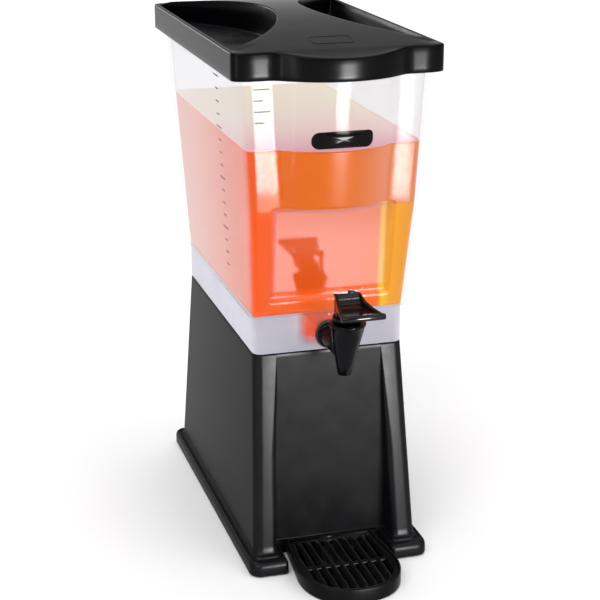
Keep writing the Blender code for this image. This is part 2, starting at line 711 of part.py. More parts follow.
def make_tray():
    """Tray with its posts and the tongue that tucks under the base's panel."""
    tray = combined(prism(tray_outline(0.0), 0.0, TRAY_HEIGHT),
                    ("DIFFERENCE", prism(tray_outline(TRAY_WALL), TRAY_WALL, TRAY_HEIGHT + STEP)))
    post_top = GRATE_TOP_Z - GRATE_THICK - GAP
    for place in post_places():
        tray = joined(tray, prism(circle(TRAY_POST_RADIUS, 12, place), TRAY_WALL / 2, post_top))
    tongue = block((-TONGUE_WIDTH / 2, TRAY_BACK - TRAY_WALL / 2, TONGUE_Z[0]),
                   (TONGUE_WIDTH / 2, TRAY_BACK + TONGUE_LENGTH, TONGUE_Z[1]))
    return joined(tray, tongue)


def make_grate():
    """Flat grate with slots that run from front to back."""
    inset = TRAY_WALL + SLIDE_GAP
    low = GRATE_TOP_Z - GRATE_THICK
    grate = prism(tray_outline(inset), low, GRATE_TOP_Z)
    inner = prism(tray_outline(inset + GRATE_BORDER), low - STEP, GRATE_TOP_Z + STEP)
    middle_y = TRAY_BACK - (TRAY_STRAIGHT + TRAY_NOSE) / 2
    cross_bar = GRATE_SLOT
    open_width = TRAY_WIDTH - 2 * (inset + GRATE_BORDER)
    count = int((open_width - GRATE_SLOT) / GRATE_PITCH) + 1
    for index in range(count):
        x = (index - (count - 1) / 2) * GRATE_PITCH
        for front, back in ((TRAY_FRONT, middle_y - cross_bar / 2),
                            (middle_y + cross_bar / 2, TRAY_BACK)):
            slot = block((x - GRATE_SLOT / 2, front, low - STEP / 2),
                         (x + GRATE_SLOT / 2, back, GRATE_TOP_Z + STEP / 2))
            grate = combined(grate, ("DIFFERENCE", combined(slot, ("INTERSECT", inner))))
    return grate


# ================================================================ tap
def body_ring(z, steps=FINE_ROUND):
    """Plan circle of the tapered tap body at one height."""
    part = (z - BODY_TIP_Z) / (BODY_TOP_Z - BODY_TIP_Z)
    radius = BODY_RADIUS_TIP + (BODY_RADIUS_TOP - BODY_RADIUS_TIP) * part
    centre = BODY_Y + TIP_SETBACK * (1 - part)
    return at_height(circle(radius, steps, (0.0, centre)), z)


def shank_end():
    """Y of the shank's inner end, inside the sump."""
    return SKIRT_FRONT + TANK_WALL + WASHER_THICK + NUT_THICK + SHANK_SPARE


def make_faucet_body():
    """Shank, hub and tapered spout in one moulding, with its water ways."""
    hub_start = SKIRT_FRONT - WASHER_THICK - 2 * GAP
    solid = joined(loft([body_ring(BODY_TIP_Z), body_ring(BODY_TOP_Z)]),
                   rod_y(HUB_RADIUS, BODY_Y + BODY_RADIUS_TIP, hub_start, SHANK_Z, FINE_ROUND),
                   rod_y(SHANK_RADIUS, hub_start - STEP, shank_end(), SHANK_Z))
    tip = cone_z(OUTLET_RADIUS, BODY_TIP_Z - STEP, OUTLET_RADIUS, SEAT_Z + STEP / 4,
                 BODY_Y + TIP_SETBACK + STEP / 10, STEM_Y)
    seat_chamber = cone_z(SEAT_CHAMBER_RADIUS, SEAT_Z, SEAT_CHAMBER_RADIUS,
                          CHAMBER_Z + STEP / 2, STEM_Y, STEM_Y)
    chamber = cone_z(CHAMBER_RADIUS, CHAMBER_Z, CHAMBER_RADIUS, BODY_TOP_Z + STEP, STEM_Y, STEM_Y)
    inlet = rod_y(SHANK_BORE, STEM_Y, shank_end() + STEP, SHANK_Z)
    ways = joined(seat_chamber, chamber, inlet, tip)
    return combined(solid, ("DIFFERENCE", ways))


def make_outer_washer():
    """Ring between the tap's hub and the outside of the tank."""
    return ring_y(WASHER_RADIUS, SKIRT_FRONT - GAP - WASHER_THICK, SKIRT_FRONT - GAP, FINE_ROUND)


def ring_y(radius, y_low, y_high, steps):
    """A ring on the shank."""
    return combined(rod_y(radius, y_low, y_high, SHANK_Z, steps),
                    ("DIFFERENCE", rod_y(SHANK_RADIUS + GAP, y_low - STEP, y_high + STEP, SHANK_Z)))


def make_inner_washer():
    """Soft ring between the nut and the inside of the tank."""
    start = SKIRT_FRONT + TANK_WALL + GAP
    return ring_y(INNER_WASHER_RADIUS, start, start + WASHER_THICK - GAP, ROUND)


def make_nut():
    """Hexagonal nut on the shank, inside the tank's sump."""
    start = SKIRT_FRONT + TANK_WALL + WASHER_THICK + GAP
    return ring_y(NUT_RADIUS, start, start + NUT_THICK, 6)


def make_bonnet():
    """Screwed cap of the tap: plug, top plate and two ears for the lever's pin."""
    hole = STEM_RADIUS + 5 * PIN_GAP
    top = BONNET_TOP_Z
    plug_low = BONNET_Z - BONNET_PLUG
    plug_radius = CHAMBER_RADIUS - GAP
    cap = turned([(hole, plug_low), (plug_radius, plug_low), (plug_radius, BONNET_Z),
                  (BONNET_RADIUS, BONNET_Z), (BONNET_RADIUS, top - BONNET_THICK / 5),
                  (BONNET_RADIUS - BONNET_THICK / 5, top), (hole, top)], STEM_Y, FINE_ROUND)
    for side in (-1, 1):
        low, high = sorted((side * EAR_INSIDE, side * (EAR_INSIDE + EAR_THICK)))
        arc = [(PIVOT_Y + EAR_RADIUS * math.cos(a), PIVOT_Z + EAR_RADIUS * math.sin(a))
               for a in np.linspace(0, math.pi, 9)]
        foot = top - BONNET_THICK / 2
        ear = side_prism([*arc, (PIVOT_Y - EAR_RADIUS, foot), (PIVOT_Y + EAR_RADIUS, foot)], low, high)
        cap = joined(cap, ear)
    reach = EAR_INSIDE + EAR_THICK + STEP
    return combined(cap, ("DIFFERENCE", rod_x(PIN_RADIUS + GAP, PIVOT_Y, PIVOT_Z, -reach, reach)))


def lever_half(y):
    """Half width of the lever: narrow over the tap, wide at the finger bar."""
    along = (PIVOT_Y + LEVER_TOP_BACK - y) / (LEVER_TOP_BACK + LEVER_REACH)
    return float(LEVER_REAR_WIDTH + (LEVER_FRONT_WIDTH - LEVER_REAR_WIDTH) * along) / 2


def lever_path(steps=12):
    """Side curve of the finger scoop, from its top edge down and out to the bar.

    A cubic Bezier curve: it leaves the top edge steeply and reaches the bar
    rising gently.
    """
    top = np.array((PIVOT_Y + LEVER_TOP_BACK, PIVOT_Z + LEVER_TOP_RISE))
    bar = np.array((PIVOT_Y - LEVER_REACH, PIVOT_Z + LEVER_BAR_RISE))
    under_top = np.array((PIVOT_Y + LEVER_TOP_BACK / 4, PIVOT_Z + LEVER_SCOOP_RISE))
    under_bar = np.array((PIVOT_Y - LEVER_REACH / 3, PIVOT_Z + LEVER_SCOOP_RISE))
    t = np.linspace(0, 1, steps + 1)[:, None]
    return ((1 - t) ** 3 * top + 3 * (1 - t) ** 2 * t * under_top
            + 3 * (1 - t) * t ** 2 * under_bar + t ** 3 * bar)


def make_lever():
    """Finger lever: scooped plate between two webs, a bar in front, a forked heel."""
    path = lever_path()
    slope = np.gradient(path, axis=0)
    slope /= np.linalg.norm(slope, axis=1)[:, None]
    normal = np.stack((-slope[:, 1], slope[:, 0]), axis=1)
    normal *= np.sign(normal[-1, 1])
    rings = []
    for (y, z), (ny, nz) in zip(path, normal):
        half, offset = lever_half(y) - LEVER_WEB / 2, LEVER_PLATE / 2
        corners = ((-half, -offset), (half, -offset), (half, offset), (-half, offset))
        rings.append([(x, y + ny * away, z + nz * away) for x, away in corners])
    lever = loft(rings)
    bar_y, bar_z = path[-1]
    bar_half = LEVER_FRONT_WIDTH / 2 + LEVER_WEB / 4
    lever = joined(lever, rod_x(LEVER_BAR_RADIUS, bar_y, bar_z, -bar_half, bar_half, ROUND))
    web_low = BONNET_TOP_Z + LEVER_WEB_GAP
    side_line = [tuple(path[0]), (PIVOT_Y + LEVER_TOP_BACK, web_low), (PIVOT_Y - EAR_RADIUS, web_low),
                 *(tuple(p) for p in path[path[:, 0] < PIVOT_Y - EAR_RADIUS - PIN_RADIUS])]
    for side in (-1, 1):
        inner = [(side * (lever_half(y) - LEVER_WEB), y, z) for y, z in side_line]
        outer = [(side * lever_half(y), y, z) for y, z in side_line]
        lever = joined(lever, loft([inner, outer]))
    hub = rod_x(EAR_RADIUS, PIVOT_Y, PIVOT_Z, -EAR_INSIDE + SLIDE_GAP, EAR_INSIDE - SLIDE_GAP, ROUND)
    neck = block((-EAR_INSIDE + SLIDE_GAP, PIVOT_Y - EAR_RADIUS / 2, PIVOT_Z),
                 (EAR_INSIDE - SLIDE_GAP, PIVOT_Y + EAR_RADIUS / 2, PIVOT_Z + 2 * EAR_RADIUS))
    lever = joined(lever, hub, neck)
    arm_top = PIVOT_Z - STEM_HEAD_RADIUS
    arm_inside = STEM_RADIUS + SLIDE_GAP
    for side in (-1, 1):
        low, high = sorted((side * arm_inside, side * (EAR_INSIDE - SLIDE_GAP)))
        lever = joined(lever, block((low, PIVOT_Y, arm_top - LEVER_ARM_THICK),
                                    (high, STEM_Y + STEM_HEAD_RADIUS * 2, arm_top)))
    pin_hole = rod_x(PIN_RADIUS + 1.2 * PIN_GAP, PIVOT_Y, PIVOT_Z, -LEVER_FRONT_WIDTH / 2,
                     LEVER_FRONT_WIDTH / 2, ROUND)
    return combined(lever, ("DIFFERENCE", pin_hole))


def make_pin():
    """Pin through both ears and the lever."""
    half = lever_half(PIVOT_Y + PIN_RADIUS) - GAP
    return rod_x(PIN_RADIUS, PIVOT_Y, PIVOT_Z, -half, half, ROUND)


def make_stem():
    """Valve stem: foot in the cup, collar under the spring, cross head for the lever."""
    foot = SEAT_Z + GAP + CUP_HEIGHT / 2
    head_z = PIVOT_Z + GAP
    rod = cone_z(STEM_RADIUS, foot, STEM_RADIUS, head_z, STEM_Y, STEM_Y)
    collar = cone_z(COLLAR_RADIUS, COLLAR_Z, COLLAR_RADIUS, COLLAR_Z + COLLAR_THICK, STEM_Y, STEM_Y)
    head = rod_x(STEM_HEAD_RADIUS, STEM_Y, head_z, -STEM_HEAD_WIDTH / 2, STEM_HEAD_WIDTH / 2, 16)
    return joined(rod, collar, head)


def make_seat_cup():
    """Soft cup that closes the spout, open above for the stem's foot."""
    low, hole = SEAT_Z + GAP, STEM_RADIUS + GAP
    cup = cone_z(CUP_RADIUS - CUP_HEIGHT / 8, low, CUP_RADIUS, low + CUP_HEIGHT, STEM_Y, STEM_Y)
    socket = cone_z(hole, low + CUP_HEIGHT / 2 - GAP, hole, low + CUP_HEIGHT + STEP, STEM_Y, STEM_Y)
    return combined(cup, ("DIFFERENCE", socket))


def make_spring(sides=6, steps_per_turn=12):
    """Coil that presses the stem down; the wire follows a helix about the stem."""
    height = SPRING_HIGH_Z - SPRING_LOW_Z - 2 * SPRING_WIRE
    count = SPRING_TURNS * steps_per_turn
    rings = []
    for i in range(count + 1):
        angle = 2 * math.pi * i / steps_per_turn
        along = SPRING_LOW_Z + SPRING_WIRE + height * i / count
        radial = (math.cos(angle), math.sin(angle))
        ring = []
        for k in range(sides):
            turn = 2 * math.pi * k / sides
            reach = SPRING_RADIUS + SPRING_WIRE * math.cos(turn)
            ring.append((reach * radial[0], STEM_Y + reach * radial[1],
                         along + SPRING_WIRE * math.sin(turn)))
        rings.append(ring)
    return loft(rings)


# ================================================================ assembly
def make_feet(rubber, parent):
    """Four pads under the flange's corners."""
    for name, place in foot_places().items():
        piece(name, prism(circle(FOOT_RADIUS, ROUND, place), 0.0, FOOT_HEIGHT), rubber, parent)


def build():
    """Make every piece and stand the whole on z = 0."""
    clear_scene()
    black = material("black_plastic", (0.022, 0.022, 0.025), 0.30)
    clear = material("clear_tank", (0.86, 0.87, 0.90), 0.16, 0.0, 0.45)
    glossy = material("gloss_black", (0.012, 0.012, 0.014), 0.12)
    rubber = material("black_rubber", (0.03, 0.03, 0.03), 0.70)
    silicone = material("silicone", (0.75, 0.73, 0.70), 0.50)
    steel = material("stainless", (0.62, 0.62, 0.63), 0.25, 1.0)

    frame = bpy.data.objects.new("dispenser", None)
    bpy.context.scene.collection.objects.link(frame)
    frame.location = (0.0, -(TRAY_FRONT + lid_back()) / 2, 0.0)

    piece("base", make_base(), black, frame)
    make_feet(rubber, frame)
    piece("tank", make_tank(), clear, frame)
    piece("front_badge", make_badge(), glossy, frame)
    piece("lid", make_lid(), black, frame)
    piece("drip_tray", make_tray(), black, frame)
    piece("drip_grate", make_grate(), black, frame)
    piece("faucet_body", make_faucet_body(), black, frame)
    piece("faucet_bonnet", make_bonnet(), black, frame)
    lever = piece("faucet_lever", make_lever(), glossy, frame)
    on_axis(lever, PIVOT_Y, PIVOT_Z)
    piece("lever_pin", make_pin(), steel, frame)
    piece("valve_stem", make_stem(), glossy, frame)
    piece("seat_cup", make_seat_cup(), silicone, frame)
    piece("closing_spring", make_spring(), steel, frame)
    piece("outer_washer", make_outer_washer(), rubber, frame)
    piece("inner_washer", make_inner_washer(), silicone, frame)
    piece("shank_nut", make_nut(), glossy, frame)


build()
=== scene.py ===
"""Looks of the countertop drink dispenser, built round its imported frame.

Lengths are metres, +Z is up and the tap faces -Y. Every new piece is a surface
worked out with numpy and lies in the frame's own coordinates.
"""
import math

import bpy
import bmesh
import numpy as np
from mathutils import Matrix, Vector


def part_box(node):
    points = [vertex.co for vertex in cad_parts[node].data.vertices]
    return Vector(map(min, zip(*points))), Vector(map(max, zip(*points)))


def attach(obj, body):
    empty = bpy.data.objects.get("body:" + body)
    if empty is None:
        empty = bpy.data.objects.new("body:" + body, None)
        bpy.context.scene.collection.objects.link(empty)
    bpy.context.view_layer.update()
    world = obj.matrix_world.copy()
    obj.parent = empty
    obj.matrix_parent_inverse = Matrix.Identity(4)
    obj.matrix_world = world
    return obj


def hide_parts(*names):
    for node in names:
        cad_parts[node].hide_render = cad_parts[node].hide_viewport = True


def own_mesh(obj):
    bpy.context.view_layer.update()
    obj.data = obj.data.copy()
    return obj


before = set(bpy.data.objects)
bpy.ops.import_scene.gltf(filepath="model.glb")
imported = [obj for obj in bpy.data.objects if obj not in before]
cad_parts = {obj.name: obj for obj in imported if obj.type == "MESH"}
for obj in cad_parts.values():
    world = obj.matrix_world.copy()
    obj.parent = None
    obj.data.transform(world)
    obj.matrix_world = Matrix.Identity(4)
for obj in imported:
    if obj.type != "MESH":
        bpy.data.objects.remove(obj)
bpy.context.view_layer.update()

# ---------------------------------------------------------------- places from the frame
tank_low, tank_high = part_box("tank")
lid_low, lid_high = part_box("lid")
base_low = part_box("base")[0]
tray_low, tray_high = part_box("drip_tray")
grate_low, grate_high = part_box("drip_grate")
tap_low, tap_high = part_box("faucet_body")
bonnet_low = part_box("faucet_bonnet")[0]
pin_low, pin_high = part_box("lever_pin")
washer_low, washer_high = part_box("outer_washer")
badge_low, badge_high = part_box("front_badge")

GAP = 0.0003
SKIRT_FRONT = washer_high.y + GAP
SKIRT_HALF_WIDTH = 0.081
SKIRT_HALF_DEPTH = 0.1505
MIDDLE_Y = SKIRT_FRONT + SKIRT_HALF_DEPTH
SKIRT_LOW = tank_low.z
RIM_Z = tank_high.z
FLOOR_Z = SKIRT_LOW + 0.040
BEND_Z = FLOOR_Z + 0.115
TANK_RISE = RIM_Z - FLOOR_Z
SHANK_Z = (washer_low.z + washer_high.z) / 2
PIVOT_Y = (pin_low.y + pin_high.y) / 2
PIVOT_Z = (pin_low.z + pin_high.z) / 2

# ---------------------------------------------------------------- tank
WALL = 0.003
TANK_CORNER = 0.010
SKIRT_CORNER = 0.010
TANK_STEP = 0.003            # tank's side stands out over its skirt
SIDE_FLARE = 0.0136
BACK_FLARE = 0.0325
FRONT_FLARE_LOW = 0.018
FRONT_FLARE_TOP = 0.022
BELLY_HALF_TOP = 0.063
BELLY_HALF_LOW = 0.054
BELLY_DEPTH_TOP = 0.026
BELLY_DEPTH_LOW = 0.018
WINDOW_HALF = 0.062
WINDOW_DRAFT = 0.003
WINDOW_SILL_Z = FLOOR_Z + 0.020
WINDOW_DEPTH_LOW = 0.007
WINDOW_DEPTH_TOP = 0.015
SUMP_HALF = 0.033
SUMP_FOOT_HALF = 0.022
SUMP_DEPTH = 0.0385
SUMP_LOW = SKIRT_LOW + 0.0015
DRINK_LEVEL = 0.4485
DRINK_CLEARANCE = 0.0002

# ---------------------------------------------------------------- lid
LID_HALF = lid_high.x
LID_BELLY_DEPTH = 0.026
LID_FRONT = lid_low.y + LID_BELLY_DEPTH
LID_BACK = lid_high.y
LID_MIDDLE = (LID_FRONT + LID_BACK) / 2
LID_HALF_DEPTH = (LID_BACK - LID_FRONT) / 2
LID_CORNER = 0.010
LID_CORNER_WIDE = 0.022
LID_EDGE_Z = lid_low.z + 0.0275
LID_CROWN = lid_high.z - LID_EDGE_Z
LID_BELLY_HALF = 0.0645
LID_BELLY_SLOPE = 0.19
LID_BELLY_BLEND = 0.0022
LID_WALL = 0.0024
POCKET_LIP = 0.0045
POCKET_SLOPE = 0.0085
POCKET_RADIUS = 0.222
BRIDGE_HALF = 0.020
POCKET_FLOOR_Z = RIM_Z + 0.0033

# ---------------------------------------------------------------- base
ROOF_Z = SKIRT_LOW - GAP
FLANGE_TOP_Z = base_low.z + 0.0145
SPREAD_SIDE = 0.0095
SPREAD_FRONT = 0.0325
SPREAD_BACK = 0.0275
FLANGE_SIDE = 0.0075
FLANGE_FRONT = 0.016
FLANGE_BACK = 0.010
BAY_HALF_TOP = 0.057
BAY_HALF_LOW = 0.0645
FLANGE_BAY_HALF = 0.057
LEG_CORNER_OUTER = 0.010
LEG_CORNER_INNER = 0.0075
PANEL_CORNER = 0.0025

QUARTER = math.pi / 2


# ================================================================ mesh tools
def surface_object(name, points, faces):
    """A mesh object from an array of points and a list or array of faces."""
    mesh = bpy.data.meshes.new(name)
    mesh.from_pydata(points.tolist(), [], [tuple(face) for face in faces])
    work = bmesh.new()
    work.from_mesh(mesh)
    bmesh.ops.remove_doubles(work, verts=work.verts, dist=2e-6)
    bmesh.ops.dissolve_degenerate(work, edges=work.edges, dist=1e-6)
    bmesh.ops.recalc_face_normals(work, faces=work.faces)
    work.to_mesh(mesh)
    work.free()
    mesh.shade_smooth()
    made = bpy.data.objects.new(name, mesh)
    bpy.context.scene.collection.objects.link(made)
    return made


def grid_faces(rows, columns, wrap_rows=False, wrap_columns=True, start=0):
    """Quads of a grid of points, row after row, closed round where asked."""
    index = start + np.arange(rows * columns).reshape(rows, columns)
    if wrap_rows:
        index = np.concatenate((index, index[:1]), axis=0)
    if wrap_columns:
        index = np.concatenate((index, index[:, :1]), axis=1)
    quads = np.stack((index[:-1, :-1], index[:-1, 1:], index[1:, 1:], index[1:, :-1]), axis=-1)
    return quads.reshape(-1, 4)


def skin(name, rows, wrap_rows=False, wrap_columns=True):
    """One object from rows of points (rows, columns, 3)."""
    return skins(name, [(rows, wrap_rows, wrap_columns)])


def skins(name, patches):
    """One object from several grids: (points, wrap_rows, wrap_columns) each."""
    points, faces, start = [], [], 0
    for rows, wrap_rows, wrap_columns in patches:
        count = rows.shape[0] * rows.shape[1]
        faces.append(grid_faces(rows.shape[0], rows.shape[1], wrap_rows, wrap_columns, start))
        points.append(rows.reshape(-1, 3))
        start += count
    return surface_object(name, np.concatenate(points), np.concatenate(faces))


def closed_ends(rows):
    """The same rows with a point row at the middle of each end, which caps them."""
    first = np.broadcast_to(rows[:1].mean(axis=1, keepdims=True), rows[:1].shape)
    last = np.broadcast_to(rows[-1:].mean(axis=1, keepdims=True), rows[-1:].shape)
    return np.concatenate((first, rows, last), axis=0)


def solid(rows):
    """A patch with capped ends, for skins."""
    return closed_ends(rows), False, True


def at_heights(loops, heights):
    """Plan loops (levels, count, 2) lifted to one height per level."""
    heights = np.broadcast_to(np.asarray(heights, float)[:, None], loops.shape[:2])
    return np.concatenate((loops, heights[..., None]), axis=-1)


def rounded_loops(corners, radii, steps=8):
    """Loops through rounded corners, one per level.

    Each corner becomes the circular arc tangent to its two sides. The tangent
    length is radius / tan(half the inside angle), cut short where a side ends.
    """
    corners = np.asarray(corners, float)
    radii = np.broadcast_to(np.asarray(radii, float), corners.shape[:2])
    back = np.roll(corners, 1, axis=1) - corners
    ahead = np.roll(corners, -1, axis=1) - corners
    back_length = np.linalg.norm(back, axis=-1, keepdims=True)
    ahead_length = np.linalg.norm(ahead, axis=-1, keepdims=True)
    back, ahead = back / back_length, ahead / ahead_length
    half = np.arccos(np.clip((back * ahead).sum(-1), -1, 1)) / 2
    tangent = np.minimum(radii / np.tan(half), 0.48 * np.minimum(back_length, ahead_length)[..., 0])
    radius = tangent * np.tan(half)
    middle = back + ahead
    middle /= np.linalg.norm(middle, axis=-1, keepdims=True)
    centre = corners + middle * (radius / np.sin(half))[..., None]
    start = corners + back * tangent[..., None] - centre
    end = corners + ahead * tangent[..., None] - centre
    sweep = (math.pi - 2 * half)[..., None, None]
    t = np.linspace(0, 1, steps + 1)[:, None]
    arc = (np.sin((1 - t) * sweep) * start[:, :, None] + np.sin(t * sweep) * end[:, :, None]) / np.sin(sweep)
    loops = centre[:, :, None] + arc
    return loops.reshape(len(corners), -1, 2)


def offset_loop(loop, distance):
    """A closed plan loop moved outwards along its own normals (it runs anticlockwise)."""
    along = np.roll(loop, -1, axis=0) - np.roll(loop, 1, axis=0)
    normal = np.stack((along[:, 1], -along[:, 0]), axis=-1)
    normal /= np.maximum(np.linalg.norm(normal, axis=-1, keepdims=True), 1e-9)
    return loop + normal * distance


def stepped(loop, shape):
    """Copies of a plan loop moved outwards and lifted: (outwards, z) each."""
    return np.stack([np.concatenate((offset_loop(loop, out), np.full((len(loop), 1), z)), axis=1)
                     for out, z in shape])


def circle_loop(radius, count):
    """Points of a plan circle round the origin."""
    angle = np.linspace(0, 2 * math.pi, count, endpoint=False)
    return np.stack((radius * np.cos(angle), radius * np.sin(angle)), axis=-1)


def arc_points(radius, start, end, steps):
    """Offsets (outwards, upwards) along a quarter or part circle, in quarter turns."""
    angle = np.linspace(start, end, steps + 1) * QUARTER
    return np.stack((radius * np.cos(angle), radius * np.sin(angle)), axis=-1)


def turned(profile, centre_y, count=72):
    """A (radius, z) profile swept about an upright axis at x = 0."""
    profile = np.asarray(profile, float)
    unit = circle_loop(1.0, count)
    rows = np.empty((len(profile), count, 3))
    rows[..., 0] = profile[:, :1] * unit[:, 0]
    rows[..., 1] = centre_y + profile[:, :1] * unit[:, 1]
    rows[..., 2] = profile[:, 1:]
    return rows


def turned_on_y(profile, centre_z, count=72, wobble=None):
    """A (radius, y) profile swept about a level axis along Y through x = 0."""
    profile = np.asarray(profile, float)
    unit = circle_loop(1.0, count)
    scale = np.ones(count) if wobble is None else wobble
    rows = np.empty((len(profile), count, 3))
    rows[..., 0] = profile[:, :1] * unit[:, 0] * scale
    rows[..., 1] = profile[:, 1:]
    rows[..., 2] = centre_z + profile[:, :1] * unit[:, 1] * scale
    return rows


def eased(t):
    """A smooth step from 0 to 1: 3t^2 - 2t^3."""
    t = np.clip(t, 0, 1)
    return t * t * (3 - 2 * t)


# ================================================================ materials
class Shade:
    """A node tree under construction, with short calls for the node kinds used here."""

    def __init__(self, name, store=bpy.data.materials):
        self.made = store.new(name)
        self.made.use_nodes = True
        self.tree = self.made.node_tree
        self.tree.nodes.clear()

    def node(self, kind, inputs=(), **settings):
        """A node's outputs. Inputs are sockets to link, colours, vectors or numbers."""
        made = self.tree.nodes.new("ShaderNode" + kind)
        for key, value in settings.items():
            setattr(made, key, value)
        for key, value in dict(inputs).items():
            socket = made.inputs[key]
            if isinstance(value, bpy.types.NodeSocket):
                self.tree.links.new(value, socket)
            else:
                socket.default_value = (*value, 1.0) if socket.type == "RGBA" else value
        return made.outputs

    def place(self, scale=(1, 1, 1)):
        """Object coordinates through a Mapping node."""
        return self.node("Mapping", {"Vector": self.node("TexCoord")["Object"], "Scale": scale})[0]

    def noise(self, scale, detail=3.0, roughness=0.55, stretch=(1, 1, 1)):
        """Noise over Object coordinates, 0 to 1."""
        return self.node("TexNoise", {"Scale": scale, "Detail": detail, "Roughness": roughness,
                                      "Vector": self.place(stretch)})[0]

    def ramp(self, source, *stops):
        """Colours by a factor: (position, colour) each."""
        out = self.node("ValToRGB", {"Fac": source})[0]
        elements = out.node.color_ramp.elements
        while len(elements) < len(stops):
            elements.new(0.5)
        for element, (position, colour) in zip(elements, stops):
            element.position = position
            element.color = (*colour, 1.0)
        return out

    def spread(self, source, low, high, new_low, new_high):
        """Map a factor's range to another, clamped."""
        return self.node("MapRange", {"Value": source, "From Min": low, "From Max": high,
                                      "To Min": new_low, "To Max": new_high})[0]

    def math(self, operation, first, second=0.0):
        """One Math node."""
        return self.node("Math", {0: first, 1: second}, operation=operation)[0]

    def mixed(self, how, amount, first, second):
        """Two colours mixed."""
        return self.node("Mix", {0: amount, 6: first, 7: second}, data_type="RGBA", blend_type=how)[2]

    def blended(self, share, first, second):
        """Two shaders mixed."""
        return self.node("MixShader", {0: share, 1: first, 2: second})[0]

    def axes(self):
        """X, Y and Z of Object coordinates."""
        return self.node("SeparateXYZ", {"Vector": self.place()})

    def bump(self, source, strength, distance):
        """A Bump node over a height."""
        return self.node("Bump", {"Height": source, "Strength": strength, "Distance": distance})[0]

    def facing(self):
        """The facing share: 0 seen square on, 1 at a grazing view."""
        return self.node("LayerWeight", {"Blend": 0.5})["Facing"]

    def share_inside(self, *limits):
        """Product of soft steps: each limit gives an axis, where its step starts and
        ends, and the share before and after it. The X axis counts from the middle."""
        axes = self.axes()
        sources = {"X": self.math("ABSOLUTE", axes["X"]), "Y": axes["Y"], "Z": axes["Z"]}
        product = 1.0
        for axis, *step in limits:
            product = self.math("MULTIPLY", product, self.spread(sources[axis], *step))
        return product

    def finished(self, shader, output="OutputMaterial"):
        """Link the output and give back the material or world."""
        self.node(output, {"Surface": shader})
        return self.made


def moulded_plastic(name, colour, roughness, gloss_front, gloss_edge, grain=0.05):
    """Satin moulding: faint cloudy tone, uneven gloss and fine pitting. The gloss
    over its dark body rises with the fifth power of the facing share."""
    shade = Shade(name)
    dark, light = [c * 0.85 for c in colour], [c * 1.2 for c in colour]
    tone = shade.ramp(shade.noise(9.0, 4.0), (0.3, dark), (0.7, light))
    uneven = shade.spread(shade.noise(38.0, 5.0, 0.6), 0.3, 0.7, roughness * 0.85, roughness * 1.2)
    pits = shade.bump(shade.noise(1400.0, 2.0, 0.5), grain, 0.0004)
    body = shade.node("BsdfPrincipled", {"Base Color": tone, "Roughness": uneven, "Normal": pits,
                                         "Specular IOR Level": 0.0})[0]
    gloss = shade.node("BsdfGlossy", {"Roughness": uneven, "Normal": pits})[0]
    shine = shade.spread(shade.math("POWER", shade.facing(), 5.0), 0.0, 1.0, gloss_front, gloss_edge)
    return shade.finished(shade.blended(shine, body, gloss))


def clear_plastic(name, haze_front, haze_edge, milk_colour, painted_glow_strength=0.05, mirror=0.34, cloud=0.01,
                  tint=(0.965, 0.965, 0.968), panel_gloss=0.0, thin_at_sump=0.0):
    """Clear moulding: see-through, with a white haze that grows towards grazing
    views, a faint cloudiness, and a gloss that rises with the fifth power of the
    facing share, alike on both faces of the wall. The recessed panel may be glossier
    and the collar in front of the well may be thinner. The haze also glows by
    emission in its own colour, which is painted light."""
    shade = Shade(name)
    facing = shade.facing()
    haze = shade.math("ADD", shade.spread(facing, 0.12, 0.85, haze_front, haze_edge),
                      shade.spread(shade.noise(16.0, 4.0), 0.3, 0.7, 0.0, cloud))
    if thin_at_sump:
        haze = shade.math("ADD", haze, shade.share_inside(
            ("X", SUMP_HALF - 0.010, SUMP_HALF + 0.003, -thin_at_sump, 0.0),
            ("Z", SUMP_LOW + 0.002, SUMP_LOW + 0.018, 0.0, 1.0),
            ("Y", SKIRT_FRONT + 0.004, SKIRT_FRONT + 0.006, 1.0, 0.0)))
    shine = shade.spread(shade.math("POWER", facing, 5.0), 0.0, 1.0, 0.003, mirror)
    if panel_gloss:
        shine = shade.math("ADD", shine, shade.share_inside(
            ("X", WINDOW_HALF - 0.004, WINDOW_HALF - 0.001, panel_gloss, 0.0),
            ("Z", WINDOW_SILL_Z + 0.004, WINDOW_SILL_Z + 0.007, 0.0, 1.0),
            ("Z", BEND_Z - 0.002, BEND_Z, 1.0, 0.0),
            ("Y", SKIRT_FRONT + 0.010, SKIRT_FRONT + 0.012, 1.0, 0.0)))
    matt = shade.node("BsdfDiffuse", {"Color": milk_colour})[0]
    # painted light: the haze glows by emission, so it stays pale however it is lit
    painted_glow = shade.node("Emission", {"Color": milk_colour, "Strength": painted_glow_strength})[0]
    milk_and_painted_glow = shade.node("AddShader", {0: matt, 1: painted_glow})[0]
    body = shade.blended(haze, shade.node("BsdfTransparent", {"Color": tint})[0], milk_and_painted_glow)
    ripple = shade.bump(shade.noise(11.0, 2.0), 0.04, 0.002)
    gloss = shade.node("BsdfGlossy", {"Roughness": 0.06, "Normal": ripple})[0]
    return shade.finished(shade.blended(shine, body, gloss))


